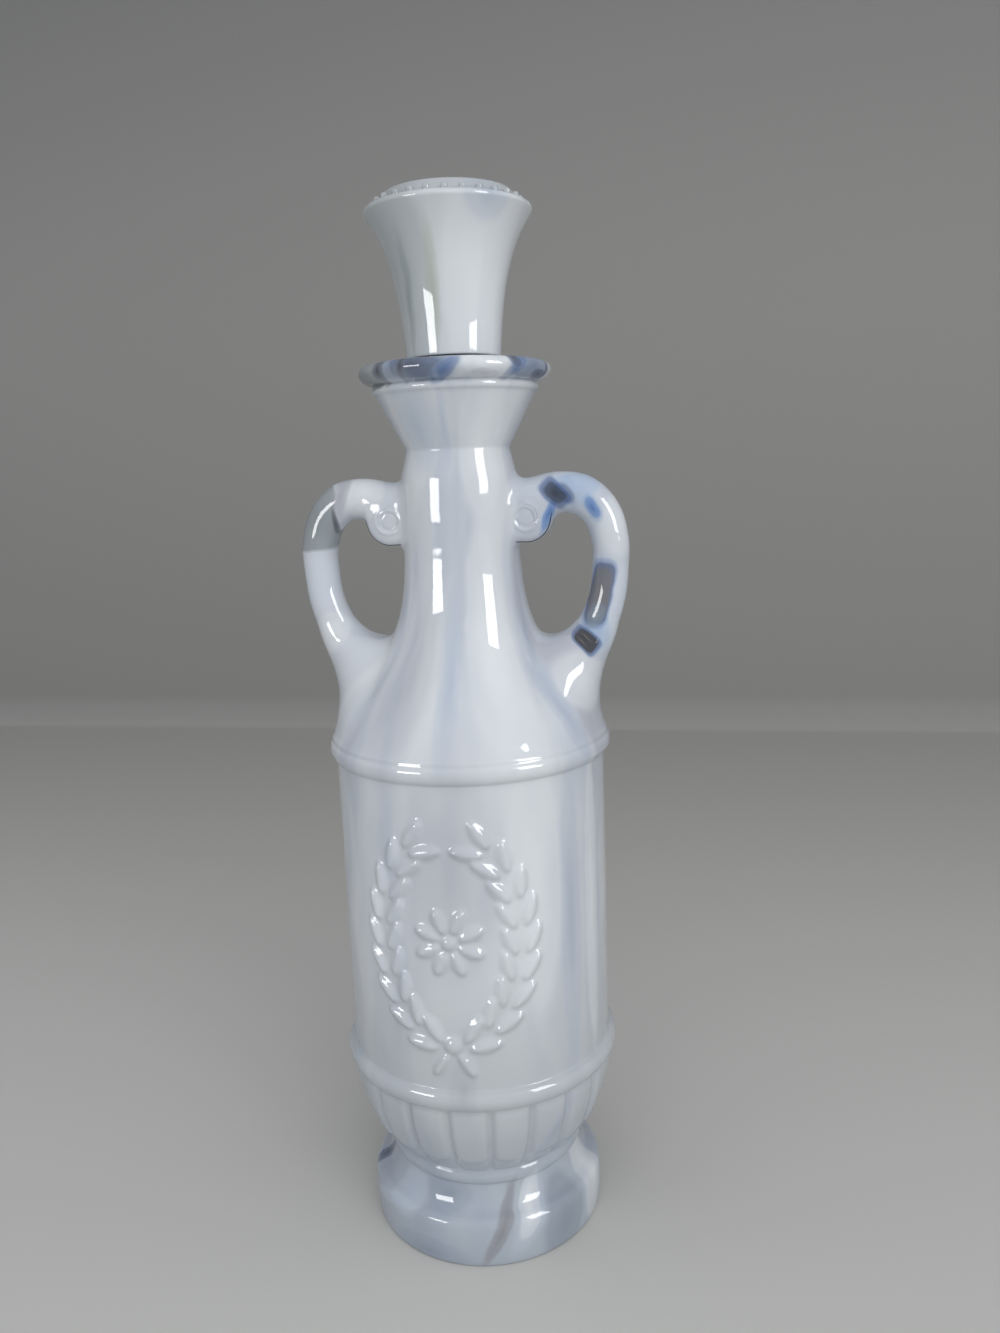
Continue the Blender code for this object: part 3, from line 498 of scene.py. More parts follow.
def marbled_glass(name, colours, core, handle_swirls, wall_swirls, top_face=()):
    """Opal soda-lime glass with coloured glass stirred in, pressed and fire polished: the eye gets
    a hard wet gloss over soft upright streaks of milk, blue and mauve, with smoky swirls where the
    stirred batch shows."""
    material, tree = blank_material(name)
    place = node(tree, "TexCoord").outputs["Object"]
    in_mm = node(tree, "VectorMath", {0: place, "Scale": 1 / MM}, operation="SCALE").outputs[0]
    # Streaks drawn down as the gob falls: six or so round the wall's front half, which fan out as the
    # wall does, and less within the core
    flat = node(tree, "VectorMath", {0: in_mm, 1: (1, 1, 0)}, operation="MULTIPLY").outputs[0]
    radius = node(tree, "VectorMath", {0: flat}, operation="LENGTH").outputs["Value"]
    cored = node(tree, "Math", {0: radius, 1: core}, operation="ADD").outputs[0]
    spoke = node(tree, "VectorMath", {0: flat, 1: cored}, operation="DIVIDE").outputs[0]
    bend = node(tree, "TexNoise", {"Vector": in_mm, "Scale": 1 / BEND_LENGTH, "Detail": 1.0}).outputs["Color"]
    drawn = node(tree, "Mapping", {"Vector": in_mm, "Scale": (0, 0, 1 / STREAK_LENGTH)}).outputs[0]
    cells = STREAK_SPREAD * (1 + core / SWIRL_RADIUS)
    drawn = node(tree, "VectorMath", {0: spoke, 1: (cells, cells, 0), 2: drawn},
                 operation="MULTIPLY_ADD").outputs[0]
    drawn = node(tree, "VectorMath", {0: bend, 1: BEND_PUSH, 2: drawn},
                 operation="MULTIPLY_ADD").outputs[0]
    streaks = node(tree, "TexNoise", {
        "Vector": drawn, "Scale": 1.0, "Detail": 2.0, "Roughness": 0.45,
    }).outputs["Fac"]
    tint = node(tree, "ValToRGB", {0: streaks}, (
        (0.30, colours.mauve, 1), (0.41, colours.haze, 1), (0.50, colours.pale, 1), (0.62, colours.milk, 1),
    )).outputs["Color"]
    # Darker blue-grey towards the table: partly the foot's own blue-grey glass, partly painted shade of
    # the bowl and foot, which get less of the light from above
    height = node(tree, "SeparateXYZ", {0: in_mm}).outputs["Z"]
    share = node(tree, "Math", {0: height, 1: LOW_TINT_AND_SHADE_HEIGHT}, operation="DIVIDE").outputs[0]
    low = node(tree, "ValToRGB", {0: share}, (
        (0.0, colours.foot, 0.7), (0.24, colours.foot, 0.6),
        (0.5, colours.bowl, 0.5), (1.0, colours.bowl, 0.0),
    )).outputs
    tint = node(tree, "Mix", {0: low["Alpha"], 6: tint, 7: low["Color"]}, data_type="RGBA").outputs[2]
    # Notches in the swirls' edges, half a millimetre deep or so: the noise runs from 0 to 1, so twice
    # the noise less 1 moves a point by up to 1 mm each way
    ragged = node(tree, "TexNoise", {
        "Vector": in_mm, "Scale": 1 / NOTCH_LENGTH, "Detail": 1.0,
    }).outputs["Color"]
    torn = node(tree, "VectorMath", {0: ragged, 1: (2.0, 2.0, 2.0), 2: in_mm},
                operation="MULTIPLY_ADD").outputs[0]
    torn = node(tree, "VectorMath", {0: torn, 1: (1.0, 1.0, 1.0)}, operation="SUBTRACT").outputs[0]
    parts = node(tree, "SeparateXYZ", {0: torn}).outputs
    back = node(tree, "Math", {0: parts["Y"], 1: -1.0}, operation="MULTIPLY").outputs[0]
    turn = node(tree, "Math", {0: parts["X"], 1: back}, operation="ARCTAN2").outputs[0]
    across = node(tree, "Math", {0: turn, 1: SWIRL_RADIUS}, operation="MULTIPLY").outputs[0]
    up = parts["Z"]
    if top_face:
        # The swirls run on over the edge of a flat top face, given by its height and radius in mm
        level, edge = top_face
        inwards = node(tree, "MapRange", {
            "Value": radius, "From Min": edge, "From Max": 0.0, "To Min": 0.0, "To Max": edge,
        }).outputs[0]
        on_top = node(tree, "MapRange", {
            "Value": height, "From Min": level - TOP_FACE_FADE[0], "From Max": level - TOP_FACE_FADE[1],
        }).outputs[0]
        up = node(tree, "Math", {0: inwards, 1: on_top, 2: up}, operation="MULTIPLY_ADD").outputs[0]
    unrolled = node(tree, "CombineXYZ", {"X": across, "Z": up}).outputs[0]
    # Some swirls carry painted shade as well as the glass's colour: the dark line down the left arm and the
    # streaks in the right web's crease
    swirls = [(torn, *swirl) for swirl in handle_swirls]
    swirls += [(unrolled, kind, (SWIRL_RADIUS * radians(turn), 0, height), (wide, 1, high), lean)
               for kind, turn, height, wide, high, lean in wall_swirls]
    for source, kind, middle, halves, lean in swirls:
        local = node(tree, "Mapping", {
            "Vector": source, "Location": middle, "Scale": halves, "Rotation": (0, radians(lean), 0),
        }, vector_type="TEXTURE").outputs[0]
        if kind in BLOCK_KINDS:
            local = node(tree, "VectorMath", {0: local, 1: local}, operation="MULTIPLY").outputs[0]
        far = node(tree, "VectorMath", {0: local}, operation="LENGTH").outputs["Value"]
        if kind in BLOCK_KINDS:
            far = node(tree, "Math", {0: far}, operation="SQRT").outputs[0]
        stain = node(tree, "ValToRGB", {0: far}, SWIRL_KINDS[kind]).outputs
        tint = node(tree, "Mix", {0: stain["Alpha"], 6: tint, 7: stain["Color"]},
                    data_type="RGBA").outputs[2]
    # A fire-polished face still waves a little
    wave = node(tree, "TexNoise", {"Vector": in_mm, "Scale": 1 / WAVE_LENGTH, "Detail": 1.0}).outputs["Fac"]
    face = node(tree, "Bump", {"Height": wave, "Strength": 0.25, "Distance": 0.0004}).outputs[0]
    shader = node(tree, "BsdfPrincipled", {
        "Base Color": tint, "Normal": face, "Roughness": 0.035, "IOR": 1.5, "Metallic": 0.0,
    })
    node(tree, "OutputMaterial", {"Surface": shader.outputs[0]})
    return material


# Length of the plastic's grain
PLASTIC_GRAIN = 1.5 * MM


def plug_plastic(name, colours):
    """Natural polyethylene, injection moulded: the eye gets a waxy off-white with a soft sheen. Its
    grain is drawn coarser than the real one, so that it shows."""
    material, tree = blank_material(name)
    place = node(tree, "TexCoord").outputs["Object"]
    grain = node(tree, "TexNoise", {"Vector": place, "Scale": 1 / PLASTIC_GRAIN, "Detail": 2.0})
    tint = node(tree, "ValToRGB", {0: grain.outputs["Fac"]}, (
        (0.3, colours.plug, 1), (0.8, colours.milk, 1),
    )).outputs["Color"]
    face = node(tree, "Bump", {
        "Height": grain.outputs["Fac"], "Strength": 0.2, "Distance": 0.0001,
    }).outputs[0]
    shader = node(tree, "BsdfPrincipled", {
        "Base Color": tint, "Normal": face, "Roughness": 0.42, "IOR": 1.51,
    })
    node(tree, "OutputMaterial", {"Surface": shader.outputs[0]})
    return material


# Curves and outlines


def bezier(start, first, second, end, count):
    """Points along a cubic curve, without its start point."""
    t = np.arange(1, count + 1)[:, None] / count
    u = 1 - t
    start, first, second, end = (np.array(p) for p in (start, first, second, end))
    points = u ** 3 * start + 3 * u * u * t * first + 3 * u * t * t * second + t ** 3 * end
    return [tuple(p) for p in points]


def bulge(start, end, swell_radius, count):
    """Points along a rounded bead between two points, without its start point."""
    angle = np.pi * np.arange(1, count + 1) / count
    share = (1 - np.cos(angle)) / 2
    crest = swell_radius - (start[0] + end[0]) / 2
    across = start[0] + (end[0] - start[0]) * share + crest * np.sin(angle)
    return list(zip(across, start[1] + (end[1] - start[1]) * share))


def smooth_curve(knots, count):
    """Points along a smooth curve through the knots, with any number of values at each."""
    knots = np.array(knots)
    ends = np.vstack([2 * knots[0] - knots[1], knots, 2 * knots[-1] - knots[-2]])
    t = np.arange(count)[:, None] / count
    runs = []
    for a, b, c, d in zip(ends, ends[1:], ends[2:], ends[3:]):
        runs.append(0.5 * (2 * b + (c - a) * t + (2 * a - 5 * b + 4 * c - d) * t ** 2
                           + (3 * b - a - 3 * c + d) * t ** 3))
    return np.vstack(runs + [knots[-1:]])


def spread(values, width):
    """Rows of values smoothed along their length by a Gaussian, with both ends held."""
    reach = int(3 * width) + 1
    taps = np.exp(-(np.arange(-reach, reach + 1) / width) ** 2 / 2)
    taps /= taps.sum()
    before = 2 * values[0] - values[1:reach + 1][::-1]
    after = 2 * values[-1] - values[-reach - 1:-1][::-1]
    padded = np.vstack([before, values, after])
    return np.column_stack([np.convolve(column, taps, "valid") for column in padded.T])


def fine_outline(outline, ease):
    """An outline in very short steps, with its corners rounded."""
    outline = np.array(outline)
    gaps = np.hypot(*np.diff(outline, axis=0).T)
    along = np.concatenate([[0.0], np.cumsum(gaps)])
    steps = np.arange(0.0, along[-1], FINE_STEP)
    fine = np.column_stack([np.interp(steps, along, outline[:, k]) for k in (0, 1)])
    return spread(fine, ease / FINE_STEP)


def stepped(fine, longest):
    """A fine outline in steps that follow its curve, none over the longest, which may vary."""
    turn = np.unwrap(np.arctan2(*np.gradient(fine, axis=0).T))
    bend = np.abs(np.gradient(turn)) / FINE_STEP
    bend = spread(bend[:, None], BEND_SMOOTHING)[:, 0]
    # A chord of length c over a curve of radius r stands off it by c * c / (8 * r)
    step = np.clip(np.sqrt(8 * CHORD_ERROR / np.maximum(bend, LEAST_BEND)), SHORT_STEP, longest)
    count = np.concatenate([[0.0], np.cumsum(FINE_STEP / step[1:])])
    rows = int(count[-1]) + 1
    return np.column_stack([np.interp(np.linspace(0, count[-1], rows), count, fine[:, k]) for k in (0, 1)])


def levels(foot, body):
    """Heights up the bottle, each from the one below."""
    at = SimpleNamespace()
    at.cove = foot.height + foot.cove_height
    at.collar = at.cove + foot.collar_height
    at.bowl = at.collar + foot.bowl_height
    at.ring = at.bowl + foot.ring_height
    at.body = at.ring + body.height
    at.bead = at.body + body.bead_height
    at.step = at.bead + body.step_height
    at.shoulder = at.step + body.cove_height
    at.bell = at.shoulder + body.bell_height
    at.neck = at.bell + body.neck_height
    at.waist = at.neck + body.waist_height
    at.cup = at.waist + body.cup_height
    at.lip_bead = at.cup + body.lip_bead_height
    at.lip = at.lip_bead + body.lip_height
    return at


def bell_outline(body, at, inset, count):
    """The long slope from the shoulder into the straight neck, inset for its inside."""
    run = body.bell_height / 2
    wide = body.top_radius - inset
    narrow = body.neck_radius - inset
    first = (wide - body.bell_share * run, at.shoulder + run)
    second = (narrow, at.shoulder + body.bell_height * body.bell_share - body.bell_lead / 3)
    return bezier((wide, at.shoulder), first, second, (narrow, at.bell + body.bell_lead), count)


def outer_outline(foot, body, at):
    """The outer half profile, from the middle of the base up to the land of the lip."""
    outline = [(0.0, foot.push_up_depth), (foot.push_up_radius / 2, foot.push_up_depth)]
    outline += [(foot.push_up_radius, 0.0), (foot.rest_radius, 0.0)]
    outline += bulge(outline[-1], (foot.edge_radius, foot.height - foot.ease), foot.radius, SMALL_BEND)
    outline.append((foot.edge_radius - foot.ease, foot.height))
    run = outline[-1][0] - foot.cove_radius
    low, high = ((foot.cove_radius + run * out, foot.height + foot.cove_height * up)
                 for out, up in COVE_SHARES)
    outline += bezier(outline[-1], low, high, (foot.cove_radius, at.cove), SMALL_BEND)
    outline += bulge(outline[-1], (foot.collar_top_radius, at.collar), foot.collar_radius, SMALL_BEND)
    grown = foot.bowl_top_radius - foot.collar_top_radius
    bowl = [(foot.collar_top_radius, at.collar)]
    bowl += [(foot.collar_top_radius + grown * out, at.collar + foot.bowl_height * up)
             for up, out in BOWL_SHARES]
    bowl.append((foot.bowl_top_radius, at.bowl))
    outline += [tuple(p) for p in smooth_curve(bowl, BOWL_KNOT_STEPS)[1:]]
    outline += bulge(outline[-1], (body.radius, at.ring), foot.ring_radius, LARGE_BEND)
    outline.append((body.radius, at.body))
    outline += bulge(outline[-1], (body.step_radius, at.bead), body.bead_radius, LARGE_BEND)
    outline.append((body.step_radius, at.step - body.step_height / 2))
    outline.append(((body.step_radius + body.top_radius) / 2, at.step))
    outline.append((body.top_radius, at.shoulder))
    outline += bell_outline(body, at, 0.0, LONG_SLOPE)
    outline.append((body.neck_radius, at.neck))
    shoulder = (body.neck_radius, at.neck + body.waist_height / 2)
    outline += bezier(outline[-1], shoulder, shoulder, (body.waist_radius, at.waist), SMALL_BEND)
    outline.append((body.cup_radius, at.cup))
    outline += bulge(outline[-1], (body.cup_radius, at.lip_bead), body.lip_bead_radius, SMALL_BEND)
    outline += bulge(outline[-1], (body.land_radius, at.lip), body.lip_radius, LARGE_BEND)
    return outline


def inner_outline(foot, body, at):
    """The inner half profile, from the mouth down to the middle of the floor."""
    wide = foot.rest_radius - body.wall
    collar = foot.cove_radius - body.wall
    bowl = foot.bowl_top_radius - body.wall
    straight = body.radius - body.wall
    outline = [(0.0, body.base), (wide - body.wall, body.base), (wide, body.base + body.wall)]
    over_foot = (collar, at.cove - body.wall)
    outline += bezier(outline[-1], (wide, foot.height), over_foot, (collar, at.cove), INNER_BEND)
    outline.append((collar, at.collar))
    waist = (collar + body.wall, at.collar + body.wall)
    in_bowl = (bowl, at.collar + foot.bowl_height / 2)
    outline += bezier(outline[-1], waist, in_bowl, (bowl, at.bowl), INNER_BEND)
    outline.append((straight, at.ring))
    outline.append((straight, at.body))
    outline.append((body.top_radius - body.wall, at.shoulder - body.wall))
    outline += bell_outline(body, at, body.wall, INNER_SLOPE)[1:]
    outline.append((body.neck_radius - body.wall, at.neck))
    outline.append((body.bore_radius, at.neck + body.waist_height / 2))
    outline.append((body.bore_radius, at.lip - body.bore_ease))
    outline.append((body.bore_radius + body.bore_ease, at.lip))
    return outline[::-1]


# Meshes


def skinned(name, rings):
    """An object skinned over closed rings of points, with a fan over its first and last ring and its
    faces turned outwards."""
    rings = np.asarray(rings)
    count, round_, _ = rings.shape
    ends = np.array([rings[0].mean(axis=0), rings[-1].mean(axis=0)])
    points = np.vstack([rings.reshape(-1, 3), ends])
    base = np.arange(round_)
    after = np.roll(base, -1)
    rows = np.arange(count - 1)[:, None] * round_
    walls = np.stack([rows + base, rows + after, rows + round_ + after, rows + round_ + base], axis=-1)
    last = (count - 1) * round_
    fans = [(int(b), int(a), count * round_) for a, b in zip(base, after)]
    fans += [(int(a) + last, int(b) + last, count * round_ + 1) for a, b in zip(base, after)]
    mesh = bpy.data.meshes.new(name)
    mesh.from_pydata(points.tolist(), [], walls.reshape(-1, 4).tolist() + fans)
    mesh.update()
    work = bmesh.new()
    work.from_mesh(mesh)
    bmesh.ops.recalc_face_normals(work, faces=work.faces)
    work.to_mesh(mesh)
    work.free()
    return placed(name, mesh)


def placed(name, mesh):
    """A mesh's object, in the scene."""
    made = bpy.data.objects.new(name, mesh)
    bpy.context.scene.collection.objects.link(made)
    return made


def turned_rings(outline, angles):
    """Rings of an outline spun round Z, as an array of rows, columns and coordinates."""
    outline = np.asarray(outline)
    across = np.stack([np.cos(angles), np.sin(angles)], axis=-1)
    rings = np.empty((len(outline), len(angles), 3))
    rings[:, :, :2] = outline[:, None, :1] * across
    rings[:, :, 2] = outline[:, 1:]
    return rings


def turned(name, outline, sides):
    """An object turned from an outline, with evenly spaced sides."""
    return skinned(name, turned_rings(outline, tau * np.arange(sides) / sides))


def joined(target, tool, operation="UNION"):
    """Adds a tool's solid to the target, or cuts it away, and removes the tool."""
    step = target.modifiers.new("Join", "BOOLEAN")
    step.operation = operation
    step.solver = "EXACT"
    step.object = tool
    graph = bpy.context.evaluated_depsgraph_get()
    mesh = bpy.data.meshes.new_from_object(target.evaluated_get(graph))
    target.modifiers.clear()
    target.data = mesh
    bpy.data.objects.remove(tool)


def from_front(angle):
    """Turn of an angle round Z, or of an array of them, from -Y: half a turn at most each way."""
    return (angle + tau / 4 + tau / 2) % tau - tau / 2


def column_angles(foot):
    """Angles of the bottle's columns: close together at the front and by each groove."""
    pitch = tau / foot.lobe_count
    lobes = [foot.lobe_turn + pitch * (lobe + share)
             for lobe in range(foot.lobe_count) for share in LOBE_SHARES]
    half = radians(FRONT_HALF_SECTOR)
    edge = half + radians(FRONT_STEP) / 2
    rest = [angle for angle in lobes if abs(from_front(angle)) > edge]
    front = np.linspace(-tau / 4 - half, -tau / 4 + half, round(2 * FRONT_HALF_SECTOR / FRONT_STEP) + 1)
    return np.sort(np.concatenate([np.array(rest) % tau, front % tau]))


def eased(share):
    """A share from 0 to 1 that starts and ends gently."""
    return share ** 2 * (3 - 2 * share)


def lobe_change(angles, heights, radii, foot, at):
    """How far the bowl's wall moves out or in at each row and column."""
    pitch = tau / foot.lobe_count
    turn = (angles - foot.lobe_turn) % pitch
    from_groove = np.minimum(turn, pitch - turn)[None, :] * radii[:, None]
    half = pitch / 2 * radii[:, None]
    ridge = 1 - np.exp(-(from_groove / GROOVE_WIDTH) ** 2)
    from_middle = np.clip(1 - from_groove / half, 0, 1)
    low, high = (at.collar + foot.bowl_height * share for share in TONGUE_END_SHARES)
    curve = 1 - np.sqrt(1 - from_middle ** 2 * TONGUE_ROUND_SHARE)
    tongue_foot = low + curve * half * TONGUE_FOOT_SHARE
    raised = np.clip((heights[:, None] - tongue_foot) / TONGUE_FOOT_EDGE, 0, 1)
    raised *= np.clip((high + TONGUE_TOP_LEAD - heights[:, None]) / TONGUE_TOP_EDGE, 0, 1)
    fade = np.clip((heights - at.collar) / BOWL_FOOT_FADE, 0, 1)
    fade *= np.clip((at.bowl - heights) / BOWL_TOP_FADE, 0, 1)
    change = -foot.groove_depth * (1 - ridge) + foot.tongue_height * eased(raised) * ridge
    return change * eased(fade)[:, None]


def leaf_height(u, z, leaf, height):
    """Height of a pointed leaf with a rounded face and a fine raised midrib."""
    middle_u, middle_z, turn, long, wide = leaf
    along = (u - middle_u) * cos(turn) + (z - middle_z) * sin(turn)
    across = -(u - middle_u) * sin(turn) + (z - middle_z) * cos(turn)
    taper = np.clip(1 - (2 * along / long) ** 2, 0, 1)
    half = wide / 2 * taper ** LEAF_TAPER_POWER + 1e-9
    share = np.clip(1 - (across / half) ** 2, 0, 1)
    rib = np.exp(-(across / MIDRIB_WIDTH) ** 2)
    face = 1 - MIDRIB_SHARE + MIDRIB_SHARE * rib
    return height * np.sqrt(share) * face * np.minimum(1, 3 * taper) ** 0.5


def boss_height(u, z, middle, radius, height):
    """Height of a domed boss."""
    near = np.clip(1 - ((u - middle[0]) ** 2 + (z - middle[1]) ** 2) / radius ** 2, 0, 1)
    return height * np.sqrt(near)


def oval_places(relief):
    """Evenly spaced places up the right side of the wreath's oval, each with its heading."""
    count = 400
    angle = np.pi * (np.arange(count) + 0.5) / count
    pace = np.hypot(relief.half_width * np.cos(angle), relief.half_height * np.sin(angle))
    arc = np.cumsum(pace)
    shares = np.linspace(relief.gap_share, 1 - relief.gap_share, relief.leaves_a_side)
    angle = np.interp(shares * arc[-1], arc, angle)
    heading = np.arctan2(relief.half_height * np.sin(angle), relief.half_width * np.cos(angle))
    return zip(relief.half_width * np.sin(angle), -relief.half_height * np.cos(angle), heading)


def relief_change(angles, heights, relief, body, at, gap):
    """How far the wreath and the rosette stand out at each row and column."""
    u = from_front(angles)[None, :] * body.radius
    z = heights[:, None]
    middle = at.ring + body.height / 2
    tie = middle - relief.half_height
    leaves = []

    def on_arc(x):
        return np.arcsin(x / body.radius) * body.radius

    for side in (-1, 1):
        for across, up, heading in oval_places(relief):
            for flank in (-1, 1):
                normal = heading + flank * tau / 4
                x = side * (across + relief.leaf_spread * cos(normal))
                place = middle + up + relief.leaf_spread * sin(normal)
                turn = heading + flank * relief.leaf_splay
                turn = turn if side > 0 else tau / 2 - turn
                leaves.append((on_arc(x), place, turn, relief.leaf_length, relief.leaf_width))
        hang = relief.tie_radius + gap + relief.tail_length / 2
        x = side * hang * cos(relief.tail_splay)
        place = tie - hang * sin(relief.tail_splay)
        leaves.append((on_arc(x), place, -side * relief.tail_splay, relief.tail_length, relief.tail_width))
    for i in range(relief.petal_count):
        angle = tau * (i + 0.5) / relief.petal_count
        x = relief.petal_place * cos(angle)
        leaves.append((on_arc(x), middle + relief.petal_place * sin(angle), angle,
                       relief.petal_length, relief.petal_width))
    change = np.zeros((len(heights), len(angles)))
    for leaf in leaves:
        change = np.maximum(change, leaf_height(u, z, leaf, relief.height))
    for place, radius in ((tie, relief.tie_radius), (middle, relief.eye_radius)):
        change = np.maximum(change, boss_height(u, z, (0.0, place), radius, relief.height))
    # The mould's soft edges: each point takes some of its neighbours' height
    for _ in range(2):
        change[1:-1] = (change[:-2] + 2 * change[1:-1] + change[2:]) / 4
        change = (np.roll(change, 1, axis=1) + 2 * change + np.roll(change, -1, axis=1)) / 4
    return change


def rounded_min(a, b, blend):
    """The smaller of two distances, rounded over where they meet."""
    near = np.maximum(blend - np.abs(a - b), 0.0) / blend
    return np.minimum(a, b) - near * near * blend / 4


class HandleForm:
    """Distances to the glass where a handle grows out of the bottle, and the handle's rough meshes."""

    def __init__(self, body, handle, at, fine):
        self.body, self.handle, self.at = body, handle, at
        rows = fine[(fine[:, 1] > at.body) & (fine[:, 1] < at.cup)]
        order = np.argsort(rows[:, 1], kind="stable")
        self.wall = rows[order]
        self.slope = np.gradient(self.wall[:, 0]) / np.maximum(np.gradient(self.wall[:, 1]), 1e-9)
        knots = [(handle.reach * out, at.shoulder + handle.rise * up, handle.arm_radius * thick)
                 for out, up, thick in ARM_SHARES]
        self.arm = smooth_curve(knots, HANDLE_KNOT_STEPS)
        knots = [(at.shoulder + handle.web_height * up, handle.web_reach * out, handle.web_reach * into,
                  handle.web_half_depth * deep) for up, out, into, deep in WEB_SHARES]
        self.web = smooth_curve(knots, HANDLE_KNOT_STEPS)
        self.scroll_height = at.shoulder + handle.rise - handle.scroll_drop

    def body_distance(self, p):
        """Distance from the bottle's wall, less than zero inside. The wall's slope, out over up, is
        held to a limit, so that a ledge doesn't shrink the distance to nothing."""
        limit = 3
        radius = np.hypot(p[:, 0], p[:, 1])
        wall = np.interp(p[:, 2], self.wall[:, 1], self.wall[:, 0])
        slope = np.interp(p[:, 2], self.wall[:, 1], self.slope)
        return (radius - wall) / np.sqrt(1 + np.clip(slope, -limit, limit) ** 2)

    def arm_distance(self, p):
        """Distance from the arm's skin, worked out for a block of points at a time."""
        block_size = 20000
        at = np.column_stack([np.abs(p[:, 0]), p[:, 2]])
        deep = p[:, 1] / self.handle.arm_depth_share
        start, run = self.arm[:-1], np.diff(self.arm, axis=0)
        size = (run[:, :2] ** 2).sum(axis=1)
        best = np.full(len(p), 1.0)
        for block in np.array_split(np.arange(len(p)), max(1, len(p) // block_size)):
            gap = at[block, None, :] - start[None, :, :2]
            share = np.clip((gap * run[None, :, :2]).sum(axis=2) / size, 0, 1)
            gap = gap - share[:, :, None] * run[None, :, :2]
            thick = start[None, :, 2] + share * run[None, :, 2]
            far = np.sqrt((gap ** 2).sum(axis=2) + deep[block, None] ** 2) - thick
            best[block] = far.min(axis=1)
        return best

    def web_distance(self, p):
        """Distance from the web's skin, with its top edge rounded."""
        height = np.clip(p[:, 2], self.web[0, 0], self.web[-1, 0])
        outer, inner, deep = (np.interp(height, self.web[:, 0], self.web[:, k]) for k in (1, 2, 3))
        x = np.abs(p[:, 0]) - (outer + inner) / 2
        share = np.hypot(x / ((outer - inner) / 2), p[:, 1] / deep) + 1e-6
        side = np.hypot(x, p[:, 1]) * (1 - 1 / share)
        top = p[:, 2] - self.web[-1, 0]
        return -rounded_min(-side, -top, WEB_TOP_BLEND)

    def scroll_face(self, radius, angle):
        """Height of the spiral ridge and the button over a scroll's face."""
        handle = self.handle
        outer = handle.scroll_radius - handle.scroll_edge - handle.cord_radius
        inner = handle.button_radius + handle.cord_radius
        ridge = np.zeros_like(radius)
        for turn in range(int(handle.scroll_turns) + 2):
            share = ((tau / 4 - angle) % tau + tau * turn) / (tau * handle.scroll_turns)
            path = outer + (inner - outer) * np.clip(share, 0, 1)
            fade = np.clip((RIDGE_END_SHARE - share) / RIDGE_FADE_SHARE, 0, 1)
            ridge = np.maximum(ridge, fade * np.exp(-((radius - path) / RIDGE_WIDTH) ** 2))
        button = np.sqrt(np.clip(1 - (radius / handle.button_radius) ** 2, 0, 1))
        return handle.cord_radius * RIDGE_HEIGHT_SHARE * np.maximum(ridge, button)

    def scroll_distance(self, p):
        """Distance from the rolled end's skin."""
        handle = self.handle
        x = np.abs(p[:, 0]) - handle.scroll_place
        z = p[:, 2] - self.scroll_height
        radius = np.hypot(x, z)
        deep = handle.scroll_half_depth + self.scroll_face(radius, np.arctan2(z, x))
        ease = handle.scroll_edge
        across = radius - handle.scroll_radius + ease
        along = np.abs(p[:, 1]) - deep + ease
        outside = np.hypot(np.maximum(across, 0), np.maximum(along, 0))
        return outside + np.minimum(np.maximum(across, along), 0) - ease

    def handle_distance(self, p):
        """Distance from one handle, whichever is nearer."""
        arm = rounded_min(self.arm_distance(p), self.web_distance(p), ARM_BLEND)
        return rounded_min(arm, self.scroll_distance(p), SCROLL_BLEND)

    def distance(self, p):
        """Distance from the whole of the outer glass near the handles."""
        return rounded_min(self.handle_distance(p), self.body_distance(p), WALL_BLEND)

    def normal(self, p):
        """The distance, and the direction in which it grows with its rate."""
        step = 0.02 * MM
        here = self.distance(p)
        grown = np.empty_like(p)
        for k in range(3):
            move = np.zeros(3)
            move[k] = step
            grown[:, k] = (self.distance(p + move) - here) / step
        return here, grown

    def arm_rings(self, side):
        """Rings of the arm, close enough together for a smooth skin."""
        pitch = 0.95 * MM
        gaps = np.hypot(*np.diff(self.arm[:, :2], axis=0).T)
        along = np.concatenate([[0.0], np.cumsum(gaps)])
        steps = np.linspace(0, along[-1], int(along[-1] / pitch))
        line = np.column_stack([np.interp(steps, along, self.arm[:, k]) for k in range(3)])
        heading = np.gradient(line[:, :2], axis=0)
        heading /= np.hypot(*heading.T)[:, None]
        angle = tau * np.arange(ARM_SIDES) / ARM_SIDES
        out = line[:, 2:] * np.cos(angle)
        rings = np.empty((len(line), len(angle), 3))
        rings[:, :, 0] = side * (line[:, :1] + out * heading[:, 1:])
        rings[:, :, 1] = line[:, 2:] * np.sin(angle) * self.handle.arm_depth_share
        rings[:, :, 2] = line[:, 1:2] - out * heading[:, :1]
        return rings

    def web_rings(self, side):
        """Level rings of the web, and smaller ones over its top."""
        level_rings = 34
        top_shares = (0.8, 0.6, 0.4, 0.2)
        heights = np.linspace(self.web[0, 0], self.web[-1, 0], level_rings)
        outer, inner, deep = (np.interp(heights, self.web[:, 0], self.web[:, k])[:, None] for k in (1, 2, 3))
        angle = tau * np.arange(WEB_SIDES) / WEB_SIDES
        rings = np.empty((len(heights), len(angle), 3))
        rings[:, :, 0] = side * ((outer + inner) / 2 + (outer - inner) / 2 * np.cos(angle))
        rings[:, :, 1] = deep * np.sin(angle)
        rings[:, :, 2] = heights[:, None]
        top = rings[-1:]
        middle = top.mean(axis=1, keepdims=True)
        return np.concatenate([rings] + [middle + (top - middle) * share for share in top_shares])

